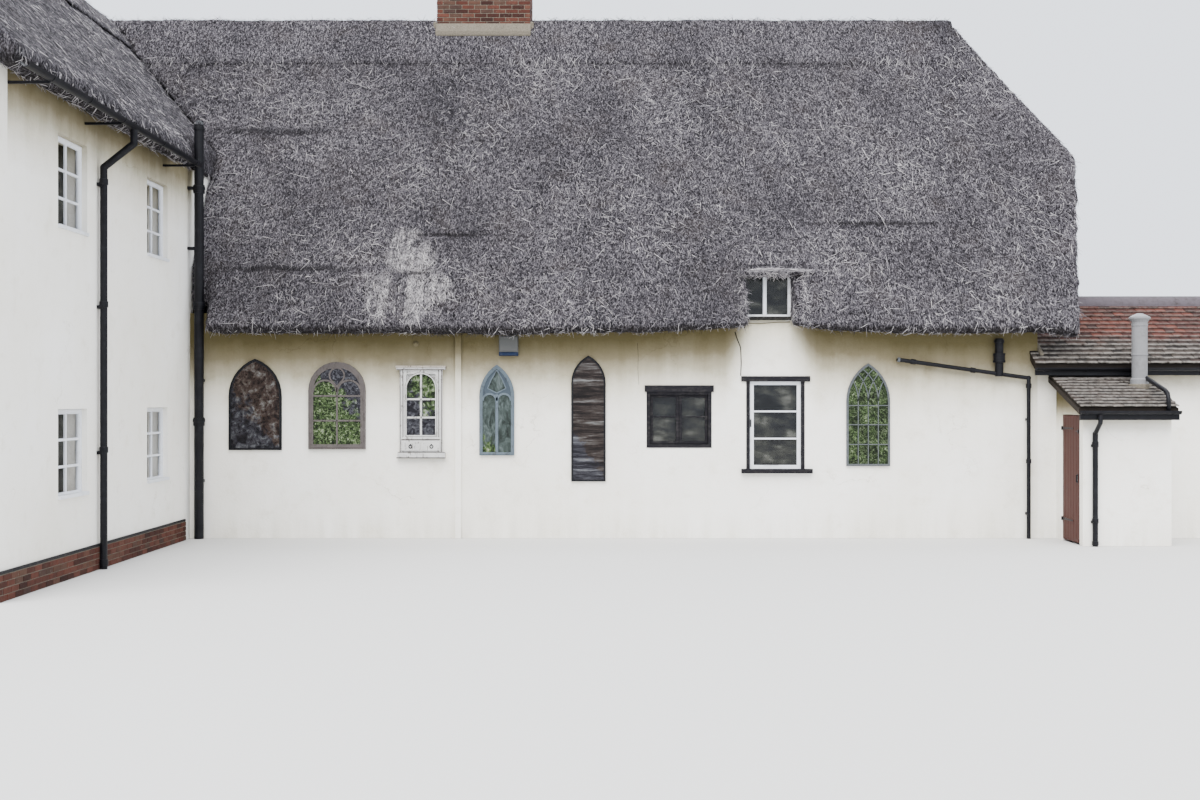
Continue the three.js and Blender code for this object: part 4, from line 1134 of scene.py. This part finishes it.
def chimneyFoot():
    # the pale fillet of mortar where the stack comes through the thatch
    front = block((-2.95, 2.6, 8.72), (-1.24, 2.75, 8.98), 0.03)
    back = block((-2.95, 3.65, 7.6), (-1.24, 3.74, 7.82), 0.03)
    parts = [
        reshaped(front, lambda x, y, z: (x, y, z - 0.14 if y < 2.68 and z > 8.85 else z)),
        reshaped(back, lambda x, y, z: (x, y, z - 0.1 if y > 3.7 and z > 7.7 else z)),
    ]
    for x0, x1 in ((-3.0, -2.93), (-1.26, -1.19)):  # sides that run down with the roof
        side = block((x0, 2.72, 7.7), (x1, 3.68, 9.02), 0.03)
        parts.append(reshaped(side, lambda x, y, z: (x, y, z - max(0.0, y - 2.85) * 1.52 if z > 8.5 else z)))
    assemble("chimneyFoot", parts, "mortar", "brick")


chimneyFoot()
print("chimney and plinth built")


# windows

hinges = [block((3.212, -0.146, z), (3.224, -0.128, z + 0.07), 0.002) for z in (1.32, 2.24)]
stay = block((2.62, -0.148, 1.175), (2.86, -0.134, 1.187), 0.002)
catch = block((2.405, -0.15, 1.78), (2.423, -0.13, 1.9), 0.003)
assemble("casementIron", [*hinges, stay, catch], "blackIron", "black_metal")
# name, width, height, columns, rows, bar, depth and place of the bars in the two white windows
whiteBars = [
    ("casementBars", 0.716, 1.31, 1, 3, 0.026, 0.03, (2.8095, -0.098, 1.8085)),
    ("dormerBars", 0.82, 0.728, 2, 1, 0.06, 0.05, (2.6395, -0.105, 3.891)),
]
for *sizes, place in whiteBars:
    dress(moved(barLattice(*sizes), place), "whitePaint", "white_paint")

leaves = []  # two casements side by side in the dark window, each with one level bar
for x in (1.032, 1.498):
    leaves.append(moved(barLattice("leaf", 0.46, 0.79, 1, 1, 0.09, 0.03), (x, -0.1, 1.8995)))
    leaves.append(block((x - 0.19, -0.108, 1.93), (x + 0.19, -0.09, 1.952), 0.003))
assemble("darkWindowBars", leaves, "blackTimber", "black_timber")

framed = {
    "rail": 0.11, "railDepth": 0.07, "bar": 0.032, "barDepth": 0.035, "sillOut": 0.13, "sillIn": 0.06,
    "sillHeight": 0.045,
    # the wing's windows: their height from the ground and to their tops, and where they stand along its long sides
    "levels": {"lower": (1.0, 2.1), "upper": (4.3, 5.45)}, "wingPlaces": (-5.3, -1.85),
    "backPlaces": (-9.0, -5.2, -2.4, 0.7),
}


def framedWindow(name, width, height, columns, rows, place, turn):
    # an outer frame, its glazing bars and a sill, set into a hole in a wall
    outer = barLattice("outer", width - 0.002, height - 0.002, 1, 1, framed["rail"], framed["railDepth"])
    bars = barLattice("bars", width - 0.1, height - 0.1, columns, rows, framed["bar"], framed["barDepth"])
    sill = block(
        (-width / 2 + 0.001, -framed["sillOut"], -height / 2),
        (width / 2 - 0.001, framed["sillIn"], -height / 2 + framed["sillHeight"]),
    )
    dress(moved(joinAll(name, [outer, bars, sill]), place, (0, 0, turn)), "whitePaint", "white_paint")


for levelName, (bottom, top) in framed["levels"].items():
    middle, height = (bottom + top) / 2, top - bottom
    for index, y in enumerate(framed["wingPlaces"]):
        framedWindow(f"{levelName}EastWindow{index}", 1.0, height, 2, 3, (-6.66, y, middle), math.pi / 2)
        framedWindow(f"{levelName}WestWindow{index}", 1.0, height, 2, 3, (-11.06, y, middle), -math.pi / 2)
    framedWindow(f"{levelName}FrontWindow", 1.4, height, 3, 3, (-8.86, -7.5, middle), 0)
for index, x in enumerate(framed["backPlaces"]):
    framedWindow(f"backWindow{index}", 1.15, 1.1, 3, 2, (x, 5.75, 1.55), math.pi)
print("windows glazed")


# framed mirrors

wallFace = -0.1503
mirrors = {
    # box is left, right, bottom, spring of the arch and apex
    "blackArched": {
        "box": (-5.936, -5.088, 1.41, 2.27, 2.868), "rail": 0.036, "depth": 0.035, "bead": 0.012,
        "glass": "brownMirror", "finish": "blackIron", "slot": "black_metal",
    },
    "roundArched": {
        "box": (-4.659, -3.746, 1.423, 2.363, 2.82), "rail": 0.08, "depth": 0.055, "bead": 0.022,
        "glass": "roundMirror", "finish": "greyWood", "slot": "grey_wood",
        "bar": 0.028, "mullionTop": 2.42, "levels": (2.274, 1.88), "headZ": 2.337,
        # the eye's middle and radius, how wide it opens at its foot, and the point below it
        "eye": {"z": 2.603, "radius": 0.118, "open": 0.8, "point": 2.425},
    },
    "blueArched": {
        "box": (-1.928, -1.37, 1.325, 2.274, 2.773), "rail": 0.052, "depth": 0.05, "bead": 0.018,
        "glass": "blueMirror", "finish": "blueWood", "slot": "blue_wood",
        "bar": 0.03, "mullion": 0.045, "mullionTop": 2.3, "headZ": 2.2, "kiteBar": 0.016,
        # half of the kite-shaped light, as (from the middle, z)
        "kite": [(0, 2.69), (0.092, 2.53), (0.148, 2.395), (0, 2.32)],
    },
    "tallDark": {
        "box": (-0.461, 0.091, 0.909, 2.478, 2.92), "rail": 0.03, "depth": 0.035, "bead": 0.01,
        "glass": "slatMirror", "finish": "blackIron", "slot": "black_metal",
    },
    "lattice": {
        "box": (3.938, 4.635, 1.154, 2.194, 2.796), "rail": 0.034, "depth": 0.04, "bead": 0.012,
        "glass": "latticeMirror", "finish": "greyMetal", "slot": "grey_metal",
        "bar": 0.013, "levels": (2.122, 1.815, 1.5),
    },
}


def fromWall(front, back):
    return wallFace - front, wallFace - back


def upright(x, bottom, top, width, depths):
    return block((x - width / 2, depths[0], bottom), (x + width / 2, depths[1], top), width * 0.15)


def level(left, right, z, width, depths):
    return block((left, depths[0], z - width / 2), (right, depths[1], z + width / 2), width * 0.15)


def strut(start, end, width, depths):
    # a flat bar between two points of the wall, each as (x, z)
    run, rise = end[0] - start[0], end[1] - start[1]
    bar = block((0, depths[0], -width / 2), (math.hypot(run, rise), depths[1], width / 2), width * 0.15)
    return moved(bar, (start[0], 0, start[1]), (0, -math.atan2(rise, run), 0))


def shrunk(box, inset):
    left, right, bottom, spring, apex = box
    return left + inset, right - inset, bottom + inset, spring, apex - inset * 1.25


def archBars(box, width, depths):
    # a bar that runs all round an arched outline, as its own pieces that meet
    left, right, bottom, spring, apex = box
    radius, sweep = archRadius((right - left) / 2, apex - spring)
    return [
        arcBar((right - radius, spring), radius, 0, sweep, width, depths),
        arcBar((left + radius, spring), radius, math.pi - sweep, sweep, width, depths),
        upright(right, bottom, spring, width, depths),
        upright(left, bottom, spring, width, depths),
        level(left - width / 2, right + width / 2, bottom, width, depths),
    ]


for name, mirror in mirrors.items():
    rail, depth = mirror["rail"], mirror["depth"]
    outline = archOutline(*shrunk(mirror["box"], rail - 0.004))
    glass = plate(name + "Glass", outline, fromWall(depth * 0.55 + 0.004, depth * 0.55 - 0.002))
    dress(glass, mirror["glass"], mirror["slot"])
    bead = archBars(shrunk(mirror["box"], rail * 0.5), mirror["bead"], fromWall(depth + 0.008, depth - 0.01))
    assemble(name + "Bead", bead, mirror["finish"], mirror["slot"])


def twinHeads(centre, quarter, z, gap, width, depths):
    # two round heads side by side
    return [
        arcBar((centre + side * quarter, z), quarter - gap, 0, math.pi, width, depths, 16) for side in (1, -1)
    ]


def roundTracery():
    mirror = mirrors["roundArched"]
    left, right, bottom = mirror["box"][:3]
    rail = mirror["rail"] - 0.01
    centre, left, right = (left + right) / 2, left + rail, right - rail
    quarter = (right - centre) / 2
    depths, thin, eye = fromWall(0.046, 0.03), mirror["bar"], mirror["eye"]
    parts = [
        upright(centre, bottom + rail, mirror["mullionTop"], thin, depths),
        *[level(left, right, z, thin, depths) for z in mirror["levels"]],
        *twinHeads(centre, quarter, mirror["headZ"], 0.006, thin, depths),
        arcBar(
            (centre, eye["z"]), eye["radius"], eye["open"] - math.pi / 2, 2 * (math.pi - eye["open"]), thin * 0.85,
            depths, 28,
        ),
    ]
    # the lower sides of the eye run down to a point between the two round heads
    for side in (1, -1):
        fromX = centre + side * eye["radius"] * math.sin(eye["open"])
        fromZ = eye["z"] - eye["radius"] * math.cos(eye["open"])
        parts.append(strut((fromX, fromZ), (centre, eye["point"]), thin * 0.85, depths))
    assemble("roundTracery", parts, "greyWood", "grey_wood")


def blueTracery():
    mirror = mirrors["blueArched"]
    left, right, bottom = mirror["box"][:3]
    rail = mirror["rail"] - 0.006
    centre = (left + right) / 2
    quarter = (right - rail - centre) / 2
    depths, headZ = fromWall(0.043, 0.026), mirror["headZ"]
    parts = [
        upright(centre, bottom + rail, mirror["mullionTop"], mirror["mullion"], depths),
        *twinHeads(centre, quarter, headZ, 0.008, mirror["bar"], depths),
    ]
    # a kite-shaped light in solid wood, between the two round heads and the point of the frame
    frameArc = archOutline(*shrunk(mirror["box"], mirror["rail"] / 2))[2:14]
    radius = quarter - 0.004
    spandrels = []
    for side in (1, -1):
        edge = [(centre + side * u, z) for u, z in mirror["kite"]]
        parts += [strut(start, end, mirror["kiteBar"], depths) for start, end in zip(edge, edge[1:])]
        outline = [(centre + side * (x - centre), z) for x, z in reversed(frameArc)]
        for i in range(11):
            angle = 0.3 + (math.pi - 0.6) * i / 10
            outline.append((centre + side * (quarter + radius * math.cos(angle)), headZ + radius * math.sin(angle)))
        outline += [(centre, headZ + 0.03), *reversed(edge)]
        spandrels.append(plate("spandrel", outline, fromWall(0.035, 0.022)))
    assemble("blueTracery", parts, "blueWood", "blue_wood")
    # the spandrels take a darker blue as painted shade in the recess behind the bars
    assemble("blueSpandrels", spandrels, "blueShade", "blue_wood")


def latticeTracery():
    mirror = mirrors["lattice"]
    left, right, bottom, spring, apex = mirror["box"]
    rail = mirror["rail"] - 0.006
    left, right = left + rail, right - rail
    step = (right - left) / 4
    depths, thin = fromWall(0.036, 0.022), mirror["bar"]
    parts = [upright(left + i * step, bottom + rail, spring + 0.01, thin, depths) for i in (1, 2, 3)]
    parts += [level(left, right, z, thin, depths) for z in mirror["levels"]]
    # arcs like the frame's own, springing from every upright and crossing in the head
    half = (right - left) / 2
    radius = archRadius(half, apex - mirror["rail"] * 1.25 - spring)[0]
    for i in (1, 2, 3):
        reach = math.acos(1 - half * (1 - i / 4) / radius)
        parts.append(arcBar((left + i * step + radius, spring), radius, math.pi - reach, reach, thin, depths))
        parts.append(arcBar((right - i * step - radius, spring), radius, 0, reach, thin, depths))
    assemble("latticeTracery", parts, "greyMetal", "grey_metal")


cabinet = {
    # boxes of arches, like the mirrors'
    "glass": (-3.086, -2.628, 1.651, 2.4, 2.624), "arch": (-3.096, -2.618, 1.64, 2.4, 2.634),
    "edgeArch": (-3.108, -2.606, 1.63, 2.4, 2.646),
    # bars as x, foot, top or as left, right, z, and then width, front and back from the wall
    "stiles": [
        (-2.857, 1.65, 2.62, 0.03, 0.066, 0.034), (-3.165, 1.36, 2.69, 0.035, 0.078, 0.034),
        (-2.55, 1.36, 2.69, 0.035, 0.078, 0.034),
    ],
    "rails": [
        (-3.088, -2.626, 2.222, 0.028, 0.066, 0.034), (-3.088, -2.626, 1.93, 0.028, 0.066, 0.034),
        (-3.15, -2.565, 1.6, 0.03, 0.085, 0.034),
    ],
    "wornStiles": [(x, 1.372, 2.69, 0.009, 0.081, 0.06) for x in (-3.187, -3.143, -2.572, -2.528)],
    "wornRails": [
        (-3.17, -2.545, 1.578, 0.01, 0.088, 0.07), (-3.24, -2.475, 2.7, 0.012, 0.11, 0.07),
        (-3.225, -2.475, 1.376, 0.01, 0.098, 0.07),
    ],
    # the foot is a thin dark strip that stands for the painted shadow under the bottom shelf
    "cornice": (-3.26, -2.455, 2.742, 0.03, 0.118, 0.01), "foot": (-3.245, -2.47, 1.288, 0.014, 0.1, 0.01),
    "drawers": (-3.158, -2.849), "drawerWidth": 0.292, "drawerHeights": (1.402, 1.556),
    "ringPlaces": (-3.02, -2.685), "ringZ": 1.467, "pinZ": 1.495,
}


def wallBars(stiles, rails):
    bars = [upright(x, foot, top, width, fromWall(*depths)) for x, foot, top, width, *depths in stiles]
    return bars + [level(x0, x1, z, width, fromWall(*depths)) for x0, x1, z, width, *depths in rails]


def cabinetDetails():
    glass = plate("cabinetGlass", archOutline(*cabinet["glass"]), fromWall(0.036, 0.028))
    dress(glass, "cabinetMirror", "pale_wood")
    trim = wallBars(cabinet["stiles"], cabinet["rails"]) + archBars(cabinet["arch"], 0.02, fromWall(0.078, 0.06))
    near, far = fromWall(0.102, 0.09)
    foot, top = cabinet["drawerHeights"]
    trim += [block((x, near, foot), (x + cabinet["drawerWidth"], far, top)) for x in cabinet["drawers"]]
    assemble("cabinetTrim", trim, "paleWood", "pale_wood")
    # darker lines where the paint has worn off the edges
    worn = wallBars(cabinet["wornStiles"], cabinet["wornRails"])
    worn += archBars(cabinet["edgeArch"], 0.008, fromWall(0.074, 0.06))
    assemble("cabinetEdges", worn, "greyWood", "pale_wood")
    # a worn cornice, and a dark strip as painted shadow under the bottom shelf
    for name, finish in (("cornice", "wornCornice"), ("foot", "slabEdge")):
        assemble("cabinet" + name.title(), wallBars([], [cabinet[name]]), finish, "pale_wood")
    near, far = fromWall(0.112, 0.09)
    rings = []
    for x in cabinet["ringPlaces"]:
        rings.append(rod((x, near, cabinet["pinZ"]), (x, far, cabinet["pinZ"]), 0.014, 12, 0.002))
        rings.append(hoop((x, wallFace - 0.104, cabinet["ringZ"]), 0, 0.025, 0.0075, 20, 8))
    assemble("drawerRings", rings, "blackIron", "black_metal")


roundTracery()
blueTracery()
latticeTracery()
cabinetDetails()
print("mirrors glazed")


# fittings on the wall

# thin lines and the pipe between two gutters: name, points, radius, finish, slot
wires = [
    ("eaveCable", [
        (2.16, -0.154, 3.3), (2.19, -0.156, 3.2), (2.25, -0.155, 3.05), (2.26, -0.156, 2.8), (2.25, -0.155, 2.6),
    ], 0.007, "blackTimber", "black_metal"),
    ("wallCrack", [
        (0.6, -0.1502, 3.12), (0.612, -0.1502, 2.9), (0.606, -0.1502, 2.7), (0.622, -0.1502, 2.45),
    ], 0.0022, "slabEdge", "render"),
    ("linkPipe", [
        (8.49, -0.478, 2.69), (8.49, -0.478, 2.655), (8.49, -0.53, 2.63), (8.49, -1.55, 2.36), (8.49, -1.66, 2.31),
        (8.49, -1.7, 2.23), (8.49, -1.7, 2.02),
    ], 0.036, "blackIron", "black_metal"),
    ("dormerWire", [
        (2.3, -0.154, 3.44), (2.55, -0.155, 3.43), (2.8, -0.155, 3.45), (3.04, -0.154, 3.455),
    ], 0.005, "palePipe", "pale_plastic"),
]


def sweptWire(name, points, radius, finish, slotName):
    # a round wire or pipe through its points
    curve = bpy.data.curves.new(name, "CURVE")
    curve.dimensions = "3D"
    spline = curve.splines.new("POLY")
    spline.points.add(len(points) - 1)
    for point, place in zip(spline.points, points):
        point.co = (*place, 1)
    curve.bevel_depth = radius
    curve.bevel_resolution = 2
    curve.use_fill_caps = True
    pick(placed(name, curve))
    bpy.ops.object.convert(target="MESH")
    piece = bpy.context.object
    squareUp(piece)
    dress(piece, finish, slotName)


for wire in wires:
    sweptWire(*wire)


lamp = {"x": -2.944, "z": 3.106, "base": 0.045, "dome": 0.035}
base = rod((lamp["x"], wallFace - 0.02, lamp["z"]), (lamp["x"], wallFace, lamp["z"]), lamp["base"], 20, 0.006)
dome = added(
    bpy.ops.mesh.primitive_uv_sphere_add, "dome", segments=20, ring_count=12, radius=lamp["dome"],
    location=(lamp["x"], wallFace - 0.03, lamp["z"]),
)
assemble("wallLamp", [base, dome], "palePipe", "pale_plastic")


def collars(x, y, height, radius, *feet):
    # rings round a plumb pipe, each from its foot up
    return [((x, y, z), (x, y, z + height), radius) for z in feet]


def pipeRings(name, rings, finish="blackIron", slotName="black_metal"):
    assemble(name, [rod(start, end, radius, 20, 0.006) for start, end, radius in rings], finish, slotName)


vent = {"x": -6.387, "y": -0.255}
pipeRings("ventCollars", [
    *collars(vent["x"], vent["y"], 0.05, 0.097, 1.86, 3.71, 5.56), *collars(vent["x"], vent["y"], 0.06, 0.084, 6.5),
])
# x and z of both ends, and the radius
wasteRings = [
    (6.36, 2.805, 6.36, 2.84, 0.098), (6.36, 2.92, 6.36, 2.955, 0.096), (6.36, 3.12, 6.36, 3.17, 0.078),
    (6.83, 2.40, 6.83, 2.47, 0.044), (6.83, 1.2, 6.83, 1.27, 0.042), (4.95, 2.8246, 5.03, 2.8135, 0.043),
    (5.9, 2.6908, 5.98, 2.6796, 0.043),
]
wasteY = -0.248
pipeRings("wasteCollars", [((x0, wasteY, z0), (x1, wasteY, z1), radius) for x0, z0, x1, z1, radius in wasteRings])
pipeRings("wasteEnd", [((4.74, wasteY, 2.854), (4.78, wasteY, 2.849), 0.038)], "greyMetal", "grey_metal")
pipeRings("downpipeCollars", [
    *collars(7.47, -1.482, 0.06, 0.05, 0.02, 0.365, 1.52),
    *collars(-6.485, -4.4, 0.08, 0.057, 0.05, 1.52, 3.42, 5.02),
])
# the wire cage in the mouth of the vent pipe
cage = [hoop((vent["x"], vent["y"], 6.59), i * math.pi / 4, 0.066, 0.004, 24, 6) for i in range(4)]
assemble("ventBalloon", cage, "greyMetal", "grey_metal")


def gutterStrap(centre=(0, 0), y=0.0):
    return arcBar(centre, 0.06, math.pi, math.pi, 0.006, (y - 0.012, y + 0.012), 10)


straps = [moved(gutterStrap(), (x, -0.478, 2.72), (0, 0, math.pi / 2)) for x in (7.0, 7.7, 8.4, 9.1, 9.8, 10.25)]
straps += [moved(gutterStrap(), (x, -1.708, 2.05), (0, 0, math.pi / 2)) for x in (7.25, 7.9, 8.55)]
straps += [gutterStrap((-6.09, 5.8), y) for y in (-7.28, -6.1, -4.88, -3.2, -1.58)]
assemble("gutterBrackets", straps, "blackIron", "black_metal")


def tilted(piece, startY, pitch):
    # lifted along Y with a roof's pitch
    return reshaped(piece, lambda x, y, z: (x, y, z + (y - startY) * pitch))


# the rough mortar edge where the tiled roof meets the end wall, and the lean-to's verge boards and flashing
fillet = tilted(block((7.0, -0.3, 2.83), (7.06, 1.4, 2.96), 0.02, "fillet"), -0.3, 0.594)
dress(fillet, "mortar", "brick")
boards = [tilted(block((x, -1.655, 1.995), (x + 0.018, -0.16, 2.085)), -1.655, 0.3333) for x in (7.166, 8.642)]
assemble("leanToVergeBoards", boards, "slabEdge", "black_timber")
dress(block((7.18, -0.19, 2.6), (8.64, -0.152, 2.66), 0.01, "leanToFlashing"), "mortar", "brick")


# render that closes the corner between the back wall's end and the thatch on the left gable
wedge = block((-11.159, 5.49, 3.48), (-10.9, 5.845, 4.15), name="gableFillet")
reshaped(wedge, lambda x, y, z: (x, y, z - 0.36 if z > 3.8 and y > 5.7 else z))
dress(wedge, "wingLimewash", "render")

flue = {"x": 8.41, "y": -0.75, "sides": 28}
bands = [
    # foot, top, radius and bevel of the two bands and of the cap's rim
    (2.9, 2.93, 0.125, 0.005), (3.36, 3.39, 0.125, 0.005), (3.47, 3.5, 0.162, 0.006),
]


def flueRing(foot, top, radius, bevel, name="flueRing"):
    return rod((flue["x"], flue["y"], foot), (flue["x"], flue["y"], top), radius, flue["sides"], bevel, name)


assemble("flueBands", [flueRing(*band) for band in bands], "flue", "flue_metal")
dress(flueRing(2.36, 2.46, 0.17, 0.02, "flueSkirt"), "mortar", "brick")

cover = block((-1.603, -0.262, 2.992), (-1.314, -0.238, 3.226), 0.012)
lens = block((-1.6, -0.262, 2.92), (-1.317, -0.238, 2.966), 0.01)
assemble("alarmFront", [cover, lens], "alarmCase", "white_plastic")
print("wall fittings placed")


# doors

door = {
    "near": -1.272, "far": -0.496, "bottom": 0.03, "top": 1.975, "boards": 6, "groove": 0.004,
    "straps": (0.35, 1.77), "nails": (-0.95, -0.78, -0.6),
}
backDoor = {"left": 3.304, "pitch": 0.1306, "board": 0.127, "boards": 7, "straps": (0.4, 1.6)}


def doorPull(grip, arm, bottom, top, inset, radius):
    # an upright grip at (x, y), and two thinner arms to the door, each between two such places
    start, end = arm
    arms = [rod((*start, z), (*end, z), radius - 0.002, 10, 0.001) for z in (bottom + inset, top - inset)]
    return [rod((*grip, bottom), (*grip, top), radius, 12, 0.002), *arms]


def sideDoorBoards():
    width = (door["far"] - door["near"]) / door["boards"]
    boards = []
    for x0, x1 in ((7.2945, 7.302), (7.343, 7.349)):  # outer side, inner side
        for i in range(door["boards"]):
            y0 = door["near"] + i * width + door["groove"] / 2
            boards.append(block((x0, y0, door["bottom"]), (x1, y0 + width - door["groove"], door["top"]), 0.003))
    assemble("doorBoards", boards, "door", "door_paint", "side_door")


def sideDoorIron():
    iron = []
    for z in door["straps"]:
        strap = block((7.2872, -1.014, z - 0.02), (7.2915, -0.5, z + 0.02), 0.002)
        iron += [
            reshaped(strap, lambda x, y, height: (x, y, z + (height - z) * 0.45 if y < -0.9 else height)),
            rod((7.282, -0.493, z - 0.0295), (7.282, -0.493, z + 0.0295), 0.0128, 20, 0.001),  # knuckle
            *[rod((7.2845, y, z), (7.29, y, z), 0.006, 10, 0.001) for y in door["nails"]],
        ]
    iron += [
        block((7.288, -1.262, 1.7), (7.296, -1.2, 1.76), 0.002),  # bolt
        rod((7.285, -1.266, 1.73), (7.285, -1.15, 1.73), 0.007, 12, 0.001),
        block((7.288, -1.235, 0.94), (7.296, -1.195, 1.08), 0.002),  # latch
        *doorPull((7.272, -1.215), ((7.272, -1.215), (7.292, -1.215)), 0.955, 1.065, 0.005, 0.008),
    ]
    assemble("doorIron", iron, "blackIron", "black_metal", "side_door")


def backDoorBoards():
    boards = []
    for i in range(backDoor["boards"]):
        x0 = backDoor["left"] + i * backDoor["pitch"]
        boards.append(block((x0, 5.788, 0.012), (x0 + backDoor["board"], 5.796, 2.046), 0.003))
    assemble("backDoorBoards", boards, "door", "door_paint")
    iron = [block((3.32, 5.794, z), (3.95, 5.8, z + 0.04), 0.002) for z in backDoor["straps"]]
    iron += doorPull((4.14, 5.83), ((4.14, 5.79), (4.14, 5.83)), 0.95, 1.07, 0.01, 0.009)
    assemble("backDoorIron", iron, "blackIron", "black_metal")


sideDoorBoards()
sideDoorIron()
backDoorBoards()
print("doors boarded")


# floor, lights and camera

studio = {
    "floorSize": 160, "floorColor": (0.56, 0.555, 0.54, 1), "skyColor": (0.86, 0.91, 1.0, 1), "skyStrength": 2.4,
    # name, turn in degrees, strength, spread in degrees, color
    "suns": [
        ("skyLight", (34, -12, 0), 6.8, 60, (1.0, 0.98, 0.96)),
        ("backFill", (-45, 20, 30), 3.2, 70, (0.96, 0.98, 1.0)),
    ],
    "camera": (0, -23.35, 2.21), "lens": 43.5, "sensor": 36, "reach": 400,
}

floor = added(
    bpy.ops.mesh.primitive_plane_add, "studioFloor", size=studio["floorSize"], location=(0, 0, -0.002),
)
newFinish("studioFloor", 0.95)
floor.data.materials.append(coated(studio["floorColor"]))

world = bpy.context.scene.world or bpy.data.worlds.new("studio")
bpy.context.scene.world = world
world.use_nodes = True
world.node_tree.nodes["Background"].inputs["Color"].default_value = studio["skyColor"]
world.node_tree.nodes["Background"].inputs["Strength"].default_value = studio["skyStrength"]

for name, turn, strength, spread, color in studio["suns"]:
    sun = bpy.data.lights.new(name, "SUN")
    sun.energy = strength
    sun.angle = math.radians(spread)
    sun.color = color
    placed(name, sun).rotation_euler = Euler([math.radians(angle) for angle in turn])

cameraData = bpy.data.cameras.new("photoView")
cameraData.lens = studio["lens"]
cameraData.sensor_width = studio["sensor"]
cameraData.clip_end = studio["reach"]
camera = placed("photoView", cameraData)
camera.location = studio["camera"]
camera.rotation_euler = (math.pi / 2, 0, 0)
bpy.context.scene.camera = camera
